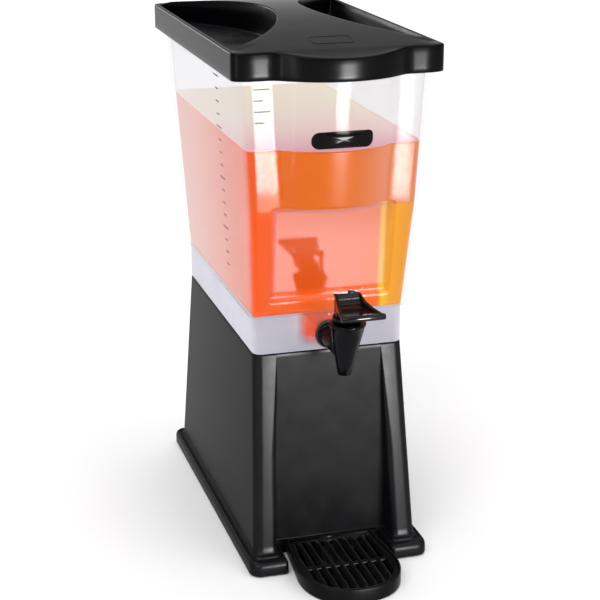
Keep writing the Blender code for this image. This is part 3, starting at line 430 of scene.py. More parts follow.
def orange_drink():
    """Cloudy orange drink: deep orange, with a painted pale sheen towards the right and a
    painted milky sheen along the sides, a painted golden refraction glint beside the
    recessed panel, and painted shade that makes it redder and darker in the well. It
    also glows by emission in its own colour, which is painted light."""
    shade = Shade("orange_drink")
    axes = shade.axes()
    across = shade.spread(axes["X"], -0.100, 0.100, 0.0, 1.0)
    # painted sheen: the ramps above and below the bend turn paler and pinker towards the right
    above = shade.ramp(across, (0.0, (0.66, 0.060, 0.0)), (0.12, (0.66, 0.090, 0.002)),
                       (0.22, (0.60, 0.110, 0.0)), (0.52, (0.61, 0.120, 0.0)),
                       (0.72, (0.60, 0.15, 0.03)), (1.0, (0.52, 0.19, 0.09)))
    # painted refraction glint: the golden stop near x = 0.057 beside the recessed panel's edge
    below = shade.ramp(across, (0.0, (0.72, 0.070, 0.0)), (0.25, (0.74, 0.090, 0.0)),
                       (0.70, (0.74, 0.110, 0.0)), (0.765, (0.72, 0.13, 0.0)), (0.785, (0.80, 0.44, 0.0)),
                       (0.825, (0.72, 0.29, 0.0)), (1.0, (0.56, 0.20, 0.03)))
    over_bend = shade.spread(axes["Z"], BEND_Z - 0.001, BEND_Z + 0.001, 0.0, 1.0)
    front = shade.mixed("MIX", over_bend, below, above)
    deep = shade.ramp(across, (0.0, (0.62, 0.085, 0.004)), (1.0, (0.62, 0.090, 0.0)))
    # painted sheen: a paler milky colour mixed in along the sides, where |x| passes about 0.07
    painted_side_sheen = shade.ramp(across, (0.0, (0.62, 0.25, 0.18)), (1.0, (0.62, 0.24, 0.14)))
    sides = shade.share_inside(("X", 0.070, 0.082, 0.0, 1.0), ("Y", -0.07, 0.12, 0.0, 1.0))
    behind = shade.spread(axes["Y"], SKIRT_FRONT + 0.004, SKIRT_FRONT + 0.040, 0.0, 1.0)
    hue = shade.mixed("MIX", behind, front, shade.mixed("MIX", sides, deep, painted_side_sheen))
    clouds = shade.ramp(shade.noise(7.0, 3.0), (0.3, (0.93, 0.88, 0.8)), (0.7, (1, 1, 1)))
    # painted shade: green and blue halve below the tank's floor, so the drink in the well is redder and darker
    depth = shade.ramp(shade.spread(axes["Z"], FLOOR_Z - 0.03, FLOOR_Z, 0.0, 1.0),
                       (0.0, (1.0, 0.50, 0.5)), (1.0, (1, 1, 1)))
    colour = shade.mixed("MULTIPLY", 1.0, shade.mixed("MULTIPLY", 0.5, hue, clouds), depth)
    # painted light: the drink glows by emission in its own colour, so it stays bright behind the hazy walls
    return shade.finished(shade.node("BsdfPrincipled", {
        "Base Color": colour, "Emission Color": colour, "Emission Strength": 0.48,
        "Roughness": 0.25, "Specular IOR Level": 0.1})[0])


def pink_surface():
    """The drink seen along its surface, drawn as painted light: it glows by emission, pink near the front and
    milky behind, over a dark base colour.
    """
    shade = Shade("pink_surface")
    # painted glow: emission colour that stands in for the light on the surface, paler towards the back
    painted_glow = shade.ramp(shade.spread(shade.axes()["Y"], -0.14, 0.10, 0.0, 1.0),
                      (0.0, (0.76, 0.34, 0.42)), (0.12, (0.80, 0.45, 0.50)), (0.35, (0.88, 0.62, 0.60)),
                      (0.65, (0.90, 0.74, 0.66)), (1.0, (0.90, 0.80, 0.66)))
    return shade.finished(shade.node("BsdfPrincipled", {
        "Base Color": (0.16, 0.12, 0.12), "Emission Color": painted_glow, "Emission Strength": 0.88, "Roughness": 0.5,
        "Specular IOR Level": 0.1, "Normal": shade.bump(shade.noise(24.0, 2.0), 0.1, 0.001)})[0])


def soft_rubber(name, colour, roughness):
    """Matt rubber or silicone with a fine grain."""
    shade = Shade(name)
    clouds = shade.noise(60.0, 4.0)
    return shade.finished(shade.node("BsdfPrincipled", {
        "Base Color": shade.ramp(clouds, (0.3, [c * 0.8 for c in colour]), (0.7, colour)),
        "Roughness": shade.spread(clouds, 0.3, 0.7, roughness * 0.9, roughness * 1.1),
        "Normal": shade.bump(shade.noise(2200.0, 2.0), 0.25, 0.0003)})[0])


def drawn_steel():
    """Drawn stainless wire and pin: fine lengthwise scratches."""
    shade = Shade("drawn_steel")
    lines = shade.noise(500.0, 4.0, 0.6, (0.05, 1, 1))
    tone = shade.ramp(lines, (0.3, (0.50, 0.50, 0.51)), (0.7, (0.66, 0.66, 0.67)))
    return shade.finished(shade.node("BsdfPrincipled", {
        "Metallic": 1.0, "Base Color": tone,
        "Roughness": shade.spread(lines, 0.3, 0.7, 0.18, 0.34), "Normal": shade.bump(lines, 0.1, 0.0002)})[0])


def pale_floor():
    """Plain near-white floor with the faintest mottling."""
    shade = Shade("pale_floor")
    return shade.finished(shade.node("BsdfPrincipled", {
        "Base Color": shade.ramp(shade.noise(3.0, 2.0), (0.3, (0.87,) * 3), (0.7, (0.885,) * 3)),
        "Roughness": 0.6, "Specular IOR Level": 0.2})[0])


def dress(made, material, body, slot, *nodes):
    """Give a new piece its finish and its body, and hide the CAD nodes it stands for. The slot argument is not
    used.
    """
    made.data.materials.clear()
    made.data.materials.append(material)
    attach(made, body)
    if nodes:
        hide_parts(*nodes)
    return made


# ================================================================ tank
def tank_side(z):
    """Half width of the tank's outside at a height."""
    return SKIRT_HALF_WIDTH + TANK_STEP + SIDE_FLARE * (z - FLOOR_Z) / TANK_RISE


def tank_back(z):
    """Y of the back wall's outside at a height."""
    return MIDDLE_Y + SKIRT_HALF_DEPTH + BACK_FLARE * (z - FLOOR_Z) / TANK_RISE


def tank_front(z):
    """Y of the front wall's outside: steep up to the bend, then nearly upright."""
    start = SKIRT_FRONT - TANK_STEP / 2
    low = start - FRONT_FLARE_LOW * (z - FLOOR_Z) / (BEND_Z - FLOOR_Z)
    rise = (z - BEND_Z) / (RIM_Z - BEND_Z)
    high = start - FRONT_FLARE_LOW - (FRONT_FLARE_TOP - FRONT_FLARE_LOW) * rise
    return np.where(z <= BEND_Z, low, high)


def window_panel(z):
    """Y of the outside of the flat panel behind the tap."""
    return tank_front(z) + np.interp(z, (WINDOW_SILL_Z, BEND_Z), (WINDOW_DEPTH_LOW, WINDOW_DEPTH_TOP))


def belly_front(x, z, inset):
    """Y of the swelling: a circular arc over its width, on straight lines in z."""
    def arc(half, depth, front):
        radius = (half ** 2 + depth ** 2) / (2 * depth)
        inside = np.maximum((radius - inset) ** 2 - x ** 2, 1e-8)
        return front - depth + radius - np.sqrt(inside)
    low = arc(BELLY_HALF_LOW, BELLY_DEPTH_LOW, tank_front(BEND_Z))
    high = arc(BELLY_HALF_TOP, BELLY_DEPTH_TOP, tank_front(RIM_Z))
    return low + (high - low) * (z - BEND_Z) / (RIM_Z - BEND_Z)


def tank_levels(inset, top, low):
    """Heights, recess share and swelling share of each level of the tank's wall.

    Both ledges are a run of levels at nearly one height, with the share eased
    from 0 to 1 and a small round at the outer edge.
    """
    sill, bend = WINDOW_SILL_Z - inset, BEND_Z + inset
    share = eased(np.linspace(0, 1, 9))
    foot = np.linspace(low, sill - 0.0012, 5)
    sill_ledge = np.linspace(sill - 0.0012, sill + 0.0006, 9)
    panel = np.linspace(sill + 0.004, bend - 0.004, 22)
    bend_ledge = np.linspace(bend - 0.0008, bend + 0.0012, 9)
    swelling = np.linspace(bend + 0.004, top, 26)
    z = np.concatenate((foot, sill_ledge, panel, bend_ledge, swelling))
    recess = np.concatenate((np.zeros(5), share, np.ones(22), 1 - share, np.zeros(26)))
    swell = np.concatenate((np.zeros(36), share, np.ones(26)))
    return z, recess, swell


def tank_rows(inset, low, top, front_points=161, corner_steps=8):
    """Loops of the tank's wall moved inwards by inset, from low to top.

    Each loop is a rounded rectangle whose front stretch is pushed back over the
    recess and forwards over the swelling. The swelling joins the flat front
    through a smooth minimum: -k log(exp(-a/k) + exp(-b/k)).
    """
    z, recess, swell = tank_levels(inset, top, low)
    side, back, front = tank_side(z) - inset, tank_back(z) - inset, tank_front(z) + inset
    corner = TANK_CORNER - inset
    share = np.linspace(-1, 1, front_points)
    x = (side - corner)[:, None] * share
    half = WINDOW_HALF + inset - GAP
    sunk = eased((half - np.abs(x)) / WINDOW_DRAFT) * recess[:, None]
    flat = np.broadcast_to(front[:, None], x.shape)
    pushed = flat + (window_panel(z) + inset - front)[:, None] * sunk
    blend = 0.0012
    belly = belly_front(x, z[:, None], inset)
    low_y = np.minimum(flat, belly)
    merged = low_y - blend * np.log(np.exp(-(flat - low_y) / blend) + np.exp(-(belly - low_y) / blend))
    y = pushed + (merged - pushed) * swell[:, None] * (np.abs(x) < BELLY_HALF_TOP + 0.004)
    front_line = np.stack((x, y), axis=-1)
    angle = np.linspace(0, 1, corner_steps + 1)[1:-1] * QUARTER
    pieces = [front_line]
    for quarter, sx, edge in ((3, 1, front), (0, 1, back), (1, -1, back), (2, -1, front)):
        turn = angle + quarter * QUARTER
        centre_y = edge + corner if quarter >= 2 else edge - corner
        if quarter in (0, 1, 3):
            turn = np.concatenate((turn, [(quarter + 1) * QUARTER]))
        if quarter in (0, 1, 2):
            turn = np.concatenate(([quarter * QUARTER], turn))
        px = sx * (side - corner)[:, None] + corner * np.cos(turn)
        py = centre_y[:, None] + corner * np.sin(turn)
        pieces.append(np.stack((px, py), axis=-1))
    return at_heights(np.concatenate(pieces, axis=1), z)


def plan_ring(inset, z, half=SKIRT_HALF_WIDTH, depth=SKIRT_HALF_DEPTH, corner=SKIRT_CORNER):
    """A rounded rectangle round the skirt's middle at each height."""
    inset, z = np.broadcast_arrays(np.asarray(inset, float), np.asarray(z, float))
    wide, deep = half - inset, depth - inset
    corners = np.stack([np.stack((sx * wide, MIDDLE_Y + sy * deep), axis=-1)
                        for sx, sy in ((-1, -1), (1, -1), (1, 1), (-1, 1))], axis=1)
    return at_heights(rounded_loops(corners, (corner - inset)[:, None]), z)


def make_tank_wall():
    """Wall, recess, swelling and rim: outside up, over the rim, inside down, floor."""
    outer = tank_rows(0.0, FLOOR_Z + 0.0004, RIM_Z - 0.0035)
    inner = tank_rows(WALL, FLOOR_Z + WALL, RIM_Z - 0.0005)[::-1]
    rim_loop = outer[-1, :, :2]
    rim = np.stack([at_heights(offset_loop(rim_loop, out)[None], [z])[0] for out, z in
                    ((0.006, RIM_Z - 0.003), (0.0095, RIM_Z - 0.003), (0.0103, RIM_Z - 0.0022),
                     (0.0103, RIM_Z - 0.0008), (0.0095, RIM_Z))])
    rows = np.concatenate((outer, rim, inner))
    return skin("tank_wall", closed_ends(rows))


def make_tank_skirt():
    """Collar under the tank's floor: outside, rounded foot, inside and top."""
    top = FLOOR_Z + 0.0002
    inset = [WALL, 0.0012, 0.0004, 0.0, 0.0, 0.0004, 0.0012, WALL - 0.0006, WALL, WALL]
    z = [top + 0.0012, top + 0.0012, top + 0.0006, top - 0.002, SKIRT_LOW + 0.0014, SKIRT_LOW + 0.0005,
         SKIRT_LOW, SKIRT_LOW, SKIRT_LOW + 0.0006, top]
    return skin("tank_skirt", plan_ring(inset, z), wrap_rows=True)


def sump_rows(inset, low, high):
    """U-shaped trough: a half-ellipse below and straight sides above, carried along Y."""
    t = np.linspace(0, 1, 33)
    angle = math.pi + t * math.pi
    mouth = SUMP_HALF - inset
    shoulder = low + (SUMP_HALF - SUMP_FOOT_HALF) + 0.004
    x = mouth * np.cos(angle)
    z = shoulder + (shoulder - low) * np.sin(angle) * np.sqrt(1.15 - 0.15 * np.sin(angle) ** 2)
    z = np.maximum(z, low)
    x, z = np.concatenate(([-mouth], x, [mouth])), np.concatenate(([high], z, [high]))
    front = SKIRT_FRONT + max(inset, WALL * 0.9)
    back = SKIRT_FRONT + SUMP_DEPTH - 0.003 - inset
    return np.stack([np.stack((x, np.full_like(x, y), z), axis=-1)
                     for y in (front, front + 0.001, back - 0.001, back)])


def make_sump():
    """The well that feeds the tap, hanging under the tank's floor."""
    return skin("tank_sump", closed_ends(sump_rows(0.0, SUMP_LOW, FLOOR_Z + 0.001)))


def make_drink():
    """The drink: the inside of the tank up to its level."""
    return skin("drink_fill", closed_ends(tank_rows(WALL + DRINK_CLEARANCE, FLOOR_Z + 0.0012, DRINK_LEVEL)))


def make_drink_surface():
    """The drink's surface: a thin sheet that climbs the wall a little all round,
    drawn in towards the tank's middle as smaller and smaller copies of its rim."""
    inset = WALL + DRINK_CLEARANCE
    brim = tank_rows(inset, FLOOR_Z + inset, DRINK_LEVEL)[-1, :, :2]
    shape = ((0.0, 0.0001), (0.0, 0.0014), (-0.0006, 0.0008), (-0.0022, 0.0003), (-0.005, 0.0002))
    rows = stepped(brim, [(out, DRINK_LEVEL + up) for out, up in shape])
    middle = np.array((0.0, MIDDLE_Y, DRINK_LEVEL + 0.0002))
    scales = np.array((0.90, 0.7, 0.5, 0.3, 0.15, 0.04))[:, None, None]
    return skin("drink_surface", closed_ends(np.concatenate((rows, middle + (rows[4] - middle) * scales))))


def make_sump_drink():
    """The drink in the well."""
    return skin("drink_in_sump", closed_ends(sump_rows(WALL, SUMP_LOW + WALL, FLOOR_Z + WALL)))


def mark_bar(centre, along, out, length, height):
    """A small raised bar: its four long edges at three depths, narrower at the face."""
    centre, along, out = (np.asarray(v, float) for v in (centre, along, out))
    up = np.array((0, 0, 1.0))
    rows = []
    for depth, grow in ((-0.0003, 0.0), (0.0003, 0.0), (0.0005, -0.0002)):
        a, h = length / 2 + grow, height / 2 + grow
        rows.append([centre + along * sx * a + up * sz * h + out * depth
                     for sx, sz in ((-1, -1), (1, -1), (1, 1), (-1, 1))])
    return solid(np.array(rows))


def make_marks():
    """Blank measuring lines on the left wall and beside the swelling."""
    bars = []
    for index in range(16):
        z = FLOOR_Z + 0.035 + index * 0.0135
        bars.append(mark_bar((-float(tank_side(z)), SKIRT_FRONT + 0.085, z), (0, 1, 0), (-1, 0, 0),
                             0.020 if index % 4 == 3 else 0.010, 0.0011))
    for index in range(4):
        z = RIM_Z - 0.016 - index * 0.011
        reach, length = ((0.0095, 0.016), (0.006, 0.009))[index % 2]
        bars.append(mark_bar((-float(tank_side(z)) + TANK_CORNER + reach, float(tank_front(z)), z),
                             (1, 0, 0), (0, -1, 0), length, 0.0010))
    return skins("tank_marks", bars)


def make_badge():
    """Blank plate bent round the swelling: rounded outline, bevelled rim. Each row
    is the outline at a share of its size, at one distance from the swelling."""
    middle = (badge_high.z + badge_low.z) / 2
    w, h = (badge_high.x - badge_low.x) / 2, (badge_high.z - badge_low.z) / 2
    corners = np.array([[(-w, -h), (w, -h), (w, h), (-w, h)]])
    loop = rounded_loops(corners, np.array([[0.0072, 0.0072, 0.0055, 0.0082]]), 12)[0]
    shape = [(0.02, 0.02, 0.0002), (0.5, 0.5, 0.0002)]
    shape += [(1 - (1 - scale) * h / w, scale, out)
              for scale, out in ((1.0, 0.0002), (1.0, 0.0009), (0.992, 0.0013), (0.975, 0.0015))]
    shape += [(scale, scale, 0.0015) for scale in (0.9, 0.75, 0.5, 0.25, 0.02)]
    rows = []
    for wide, high, out in shape:
        x, z = loop[:, 0] * wide, middle + loop[:, 1] * high
        rows.append(np.stack((x, belly_front(x, z, 0.0) - out, z), axis=-1))
    return skin("badge_plate", closed_ends(np.stack(rows)))


# ================================================================ lid
def lid_reach(y, inset):
    """Half width of the lid at a distance along Y: its corners are quarter
    ellipses, long across the front and short along the sides."""
    near = np.minimum(y - (LID_FRONT + inset), (LID_BACK - inset) - y)
    deep = LID_CORNER - inset
    wide = LID_CORNER_WIDE - inset
    share = np.clip(near / deep, 0, 1)
    return LID_HALF - inset - wide + wide * np.sqrt(np.maximum(1 - (1 - share) ** 2, 0))


def lid_belly(x, inset):
    """How far the lid's front swells at x: a circular arc, eased into the straight edge."""
    half, depth = LID_BELLY_HALF, LID_BELLY_DEPTH
    radius = (half ** 2 + depth ** 2) / (2 * depth)
    arc = np.sqrt(np.maximum((radius - inset) ** 2 - x ** 2, 1e-8)) - (radius - depth)
    k, top = LID_BELLY_BLEND, np.maximum(arc, 0.0)
    swell = top + k * np.log(np.exp((arc - top) / k) + np.exp(-top / k))
    return np.where(np.abs(x) < half + 0.012, swell, 0.0)


def lid_crown(y):
    """Height of the carrying bridge: a parabola over the lid's length."""
    return LID_EDGE_Z + LID_CROWN * (1 - ((y - LID_MIDDLE) / LID_HALF_DEPTH) ** 2)


def lid_section(y, inset):
    """Half cross sections of the lid's top, from its middle outwards.

    In order: bridge, rounded edge, pocket wall, fillet, pocket floor, fillet,
    lip's inner face, rounded edge and lip. Where the pocket has closed, its
    points fall together on the top.
    """
    y = y[:, None]
    reach = lid_reach(y, inset)
    crown = lid_crown(y)
    off = np.clip((y - LID_MIDDLE) / POCKET_RADIUS, -0.999, 0.999)
    bridge = BRIDGE_HALF + POCKET_RADIUS * (1 - np.sqrt(1 - off ** 2))
    lip = np.minimum(LID_HALF - POCKET_LIP, reach - 0.0005)
    bridge = np.minimum(bridge, lip)
    width = lip - bridge
    open_share = eased(width / 0.010)
    floor_z = LID_EDGE_Z - (LID_EDGE_Z - POCKET_FLOOR_Z) * open_share
    soft = np.minimum(0.0016, width / 5)
    lean = np.minimum(0.0015, width / 6)
    slope = np.minimum(POCKET_SLOPE, width / 4)
    t = np.linspace(0, 1, 17)[None]
    fade = eased((np.linspace(0, 1, 17) - 0.80) / 0.20)[None]
    closing = 1 - open_share
    inner, outer = bridge + lean + soft, lip - slope - soft
    s = np.linspace(0, 1, 9)[None]

    def rounds(*shares):
        return [(1 - math.sin(a * QUARTER), 1 - math.cos(a * QUARTER)) for a in shares]

    top = crown - (crown - LID_EDGE_Z) * fade * closing
    edge = top[:, -1:]
    parts = [((bridge - soft) * t, top)]
    parts += [(bridge - soft * a, edge - soft * b) for a, b in rounds(0.25, 0.5, 0.75, 1.0)]
    parts += [(bridge + lean * a, edge - soft - (edge - soft - floor_z - soft * 0.5) * a)
              for a in (0.35, 0.7, 0.92, 1.0)]
    parts += [(bridge + lean + soft * 0.5, floor_z), (inner + (outer - inner) * s, floor_z),
              (lip - slope - soft * 0.3, floor_z + soft * 0.5)]
    parts += [(lip - slope * (1 - a), floor_z + soft + (LID_EDGE_Z - 2 * soft - floor_z) * a)
              for a in (0.1, 0.35, 0.7, 1.0)]
    parts += [(lip + soft * 0.6 * b, LID_EDGE_Z - soft * a) for a, b in rounds(0.33, 0.66, 1.0)]
    parts += [(np.minimum(lip + 0.002, reach), LID_EDGE_Z), (reach, LID_EDGE_Z)]
    parts = [np.broadcast_arrays(px, pz, y)[:2] for px, pz in parts]
    return [np.concatenate(line, axis=1) for line in zip(*parts)]


def make_lid():
    """Lid shell: its top grid, a rounded edge all round and an upright wall."""
    soft = 0.0022
    corner = LID_CORNER - soft
    turn = np.linspace(0, 1, 13) * QUARTER
    near = corner * (1 - np.cos(turn))
    front, back = LID_FRONT + soft, LID_BACK - soft
    y = np.concatenate((front + near[:-1], np.linspace(front + corner, back - corner, 120),
                        (back - near[::-1])[1:]))
    x, z = lid_section(y, soft)
    x = np.concatenate((-x[:, :0:-1], x), axis=1)
    z = np.concatenate((z[:, :0:-1], z), axis=1)
    grid = np.stack((x, np.broadcast_to(y[:, None], x.shape), z), axis=-1)
    swell = lid_belly(grid[0, :, 0], 0.0)
    steps = np.linspace(1, 0, 9)[:-1]
    nose = np.repeat(grid[:1], len(steps), axis=0)
    nose[..., 1] -= steps[:, None] * swell
    nose[..., 2] -= LID_BELLY_SLOPE * steps[:, None] * swell
    nose[..., 2] -= 0.0006 * np.sin(steps * math.pi)[:, None] * (swell > 0.001)
    grid = np.concatenate((nose, grid))
    left, right = grid[::-1, 0], grid[:, -1]
    edge = np.concatenate((grid[0], right[1:], grid[-1, ::-1][1:], left[1:-1]))
    edge = edge[np.linalg.norm(edge - np.roll(edge, 1, axis=0), axis=1) > 1e-5]
    plan, brow = edge[:, :2], edge[:, 2:] - soft
    rings = [edge]
    for out, up in arc_points(soft, 1, 0, 5)[1:]:
        rings.append(np.concatenate((offset_loop(plan, out), brow + up), axis=1))
    for share in (0.25, 0.5, 0.75, 1.0):
        z_line = brow + (lid_low.z + 0.0008 - brow) * share
        rings.append(np.concatenate((offset_loop(plan, soft), z_line), axis=1))
    rings += list(stepped(plan, ((soft - 0.0004, lid_low.z + 0.0002), (soft - 0.0010, lid_low.z))))
    made = skins("lid_shell", [(grid, False, False), (np.stack(rings), False, True)])
    thick = made.modifiers.new("wall", "SOLIDIFY")
    thick.thickness = LID_WALL
    thick.offset = -1.0
    return made


def make_lid_panel():
    """A plain raised outline on the front of the bridge."""
    x0, x1, y0, y1 = -0.022, 0.019, -0.125, -0.103
    loop = rounded_loops([[(x0, y0), (x1, y0), (x1, y1), (x0, y1)]], 0.0035, 6)[0]
    rows = []
    for out, up in ((0.0, -0.0003), (0.0, 0.00025), (0.0003, 0.0004), (0.0008, 0.0004), (0.0011, 0.00025),
                    (0.0011, -0.0003)):
        line = offset_loop(loop, out)
        rows.append(np.concatenate((line, (lid_crown(line[:, 1]) + up)[:, None]), axis=1))
    return skin("lid_panel_outline", np.stack(rows), wrap_rows=True)


# ================================================================ base
def base_corners(z, inset=0.0, spread=0.0, front_extra=0.0, back_extra=0.0, bay=None):
    """Corners of the pedestal's plan: two legs in front with the bay between them."""
    z = np.atleast_1d(np.asarray(z, float))
    fall = np.clip((ROOF_Z - z) / ROOF_Z, 0, 1)
    half = SKIRT_HALF_WIDTH + SPREAD_SIDE * fall + spread - inset
    back = MIDDLE_Y + SKIRT_HALF_DEPTH + SPREAD_BACK * fall + back_extra - inset
    front = SKIRT_FRONT - SPREAD_FRONT * fall - front_extra + inset
    front = np.minimum(front, SKIRT_FRONT - GAP + inset)
    bay_half = (BAY_HALF_TOP + (BAY_HALF_LOW - BAY_HALF_TOP) * fall if bay is None else bay) + inset
    bay_half = np.broadcast_to(bay_half, z.shape)
    panel = np.full_like(z, SKIRT_FRONT) + inset
    points = [(-bay_half, panel), (bay_half, panel), (bay_half, front), (half, front), (half, back),
              (-half, back), (-half, front), (-bay_half, front)]
    return np.stack([np.stack(np.broadcast_arrays(a, b), axis=-1) for a, b in points], axis=1)


def leg_radii(inset=0.0):
    """Corner radii in the order of base_corners."""
    panel, outer = PANEL_CORNER + inset, max(LEG_CORNER_OUTER - inset, 0.001)
    inner = max(LEG_CORNER_INNER - inset, 0.001)
    return np.array([panel, panel, inner, outer, outer, outer, outer, inner])


def base_loops(z, inset=0.0, **reach):
    """Rounded plan loops of the pedestal at several heights."""
    corners = base_corners(z, inset, **reach)
    return at_heights(rounded_loops(corners, leg_radii(inset)[None], 9), z)


def flange_loops(z, reach, corner_grow):
    """Loops of the flange: reach 0 is the wall's own foot and 1 the outermost edge."""
    z = np.asarray(z, float)
    reach = np.asarray(reach, float)
    wall = base_corners(np.full_like(z, FLANGE_TOP_Z))
    rim = base_corners(np.zeros_like(z), 0.0, FLANGE_SIDE, FLANGE_FRONT, FLANGE_BACK, FLANGE_BAY_HALF)
    corners = wall + (rim - wall) * reach[:, None, None]
    radii = leg_radii()[None] + np.outer(corner_grow, [0, 0, -0.003, 0.002, 0.002, 0.002, 0.002, -0.003])
    return at_heights(rounded_loops(corners, radii, 9), z)


def make_base():
    """Hollow pedestal: roof, legs, recessed panel, grooved flange and open underside."""
    crown = [base_loops([ROOF_Z], 0.0012), base_loops([ROOF_Z - 0.0003], 0.0004)]
    walls = base_loops(np.concatenate((np.linspace(ROOF_Z - 0.0012, ROOF_Z - 0.03, 10),
                                       np.linspace(ROOF_Z - 0.04, FLANGE_TOP_Z + 0.0032, 24))))
    top = FLANGE_TOP_Z
    low = base_low.z
    shape = [(0.02, top + 0.0024), (0.05, top + 0.0018), (0.10, top + 0.0015), (0.20, top + 0.0015),
             (0.25, top + 0.0012), (0.28, top + 0.0004), (0.30, top - 0.0006), (0.34, top - 0.0010),
             (0.44, top - 0.0010), (0.48, top - 0.0006), (0.52, top + 0.0000), (0.57, top + 0.0005),
             (0.66, top + 0.0006), (0.78, top + 0.0002), (0.88, top - 0.0010), (0.95, top - 0.0026),
             (0.99, top - 0.0046), (1.0, top - 0.0065), (1.0, low + 0.0022), (0.985, low + 0.0010),
             (0.94, low + 0.0002), (0.86, low)]
    reach, z = np.array(shape).T
    flange = flange_loops(z, reach, reach)
    rim = flange_loops([low], [0.70], [0.7])
    hollow = base_loops(np.linspace(FLANGE_TOP_Z - 0.003, ROOF_Z - WALL, 6), WALL)
    rows = np.concatenate(crown + [walls, flange, rim, hollow])
    return skin("base_shell", closed_ends(rows))


def make_base_lip():
    """Raised edge on the base's roof that centres the tank's skirt."""
    reach = WALL + 0.0006
    z0, z1 = ROOF_Z - 0.001, ROOF_Z + 0.006
    inset = [reach, reach, reach + 0.0006, reach + WALL - 0.0006, reach + WALL, reach + WALL]
    z = [z0, z1 - 0.0006, z1, z1, z1 - 0.0006, z0]
    return skin("base_lip", plan_ring(inset, z), wrap_rows=True)


# ================================================================ drip tray
TRAY_HALF = tray_high.x
TRAY_BACK_HALF = TRAY_HALF - 0.0065
TRAY_NOSE = 0.061
TRAY_SHOULDER = tray_low.y + TRAY_NOSE
TRAY_TAIL = 0.067
TRAY_BACK = TRAY_SHOULDER + TRAY_TAIL
TRAY_POWER = 2.3
TRAY_WALL = 0.0025


def tray_loop(inset, nose_points=72):
    """Tray plan: |x/a|^p + |y/b|^p = 1 in front, straight sides that taper to the back."""
    half, half_back, nose = TRAY_HALF - inset, TRAY_BACK_HALF - inset, TRAY_NOSE - inset
    power = 2 / TRAY_POWER
    a = np.linspace(math.pi, 2 * math.pi, nose_points + 1)
    x = half * np.sign(np.cos(a)) * np.abs(np.cos(a)) ** power
    y = TRAY_SHOULDER - nose * np.abs(np.sin(a)) ** power
    back_y = TRAY_BACK - inset
    soft = 0.002
    tail = np.array([(half_back + 0.0001, back_y - soft), (half_back - soft * 0.3, back_y - soft * 0.3),
                     (half_back - soft, back_y), (-half_back + soft, back_y),
                     (-half_back + soft * 0.3, back_y - soft * 0.3), (-half_back - 0.0001, back_y - soft)])
    side = np.linspace(0, 1, 9)[1:-1, None]
    right = np.stack((x[-1:], y[-1:]), axis=-1) * (1 - side) + tail[:1] * side
    left = tail[-1:] * (1 - side) + np.stack((x[:1], y[:1]), axis=-1) * side
    return np.concatenate((np.stack((x, y), axis=-1), right, tail, left))


def make_tray():
    """Tray with a rounded rim, drawn as one closed shell."""
    top, low = tray_high.z, tray_low.z
    shape = [(-0.0100, low + 0.0002), (-0.0022, low), (-0.0008, low + 0.0003), (-0.0001, low + 0.0014),
             (0.0, low + 0.003), (0.0, top - 0.0010), (-0.0003, top - 0.0003), (-0.0009, top),
             (-0.0016, top), (-0.0022, top - 0.0003), (-0.0025, top - 0.0010), (-0.0025, low + 0.0045),
             (-0.0030, low + 0.0032), (-0.0042, low + 0.0026), (-0.0100, low + 0.0025)]
    return skin("tray_shell", closed_ends(stepped(tray_loop(0.0), shape)))


def make_tray_tongue():
    """The tongue that tucks under the base's panel."""
    half, y0, y1 = 0.030, TRAY_BACK - 0.002, float(tray_high.y)
    loop = rounded_loops([[(-half, y0), (half, y0), (half, y1), (-half, y1)]], 0.0025, 5)[0]
    shape = ((-0.0006, 0.003), (0.0, 0.0036), (0.0, 0.0074), (-0.0006, 0.008))
    return skin("tray_tongue", closed_ends(stepped(loop, shape)))


def make_tray_posts():
    """Four posts that hold up the grate."""
    patches = []
    for side in (-1, 1):
        for y in (TRAY_BACK - TRAY_WALL - 0.012, TRAY_SHOULDER - TRAY_NOSE / 4):
            profile = [(0.0034, tray_low.z + 0.0024), (0.003, tray_low.z + 0.0035),
                       (0.003, grate_low.z - 0.0008), (0.0025, grate_low.z - GAP)]
            rows = turned(profile, y, 24)
            rows[..., 0] += side * TRAY_BACK_HALF / 2
            patches.append(solid(rows))
    return skins("tray_posts", patches)


def make_grate():
    """Grate: a rounded border, one cross bar and ribs from front to back."""
    inset = TRAY_WALL + 0.0006
    border = 0.005
    low, top = float(grate_low.z), float(grate_high.z)
    shape = [(0.0, low + 0.0003), (0.0, top - 0.0008), (-0.0003, top - 0.0002), (-0.0010, top),
             (-border + 0.0008, top), (-border + 0.0001, top - 0.0006), (-border, low + 0.0003),
             (-border + 0.0005, low), (-0.0005, low)]
    patches = [(stepped(tray_loop(inset), shape), True, True)]
    pitch, rib, cross = 0.010, 0.0045, 0.0055
    nose, half = TRAY_NOSE - inset - border / 2, TRAY_HALF - inset - border / 2
    section = np.array([(-0.5, low), (-0.5, top - 0.0010), (-0.36, top - 0.0003), (-0.15, top),
                        (0.15, top), (0.36, top - 0.0003), (0.5, top - 0.0010), (0.5, low)])

    def bar(x, y, drop):
        """The section carried along a line: x and y broadcast to one value per point."""
        z = section[:, 1] - drop
        return solid(np.stack(np.broadcast_arrays(x, y, z), axis=-1))

    for index in range(-4, 6):
        x = (index - 0.5) * pitch
        if abs(x) + rib / 2 <= half:
            reach = nose * (1 - (abs(x) / half) ** TRAY_POWER) ** (1 / TRAY_POWER)
            y = np.linspace(TRAY_SHOULDER - reach, TRAY_BACK - inset - border / 2, 12)
            patches.append(bar(x + section[:, 0] * rib, y[:, None], 0.0002))
    cross_y = TRAY_BACK - (TRAY_TAIL + TRAY_NOSE) / 2
    patches.append(bar(np.linspace(-half, half, 12)[:, None], cross_y + section[:, 0] * cross, 0.0004))
    return skins("grate_ribs", patches)


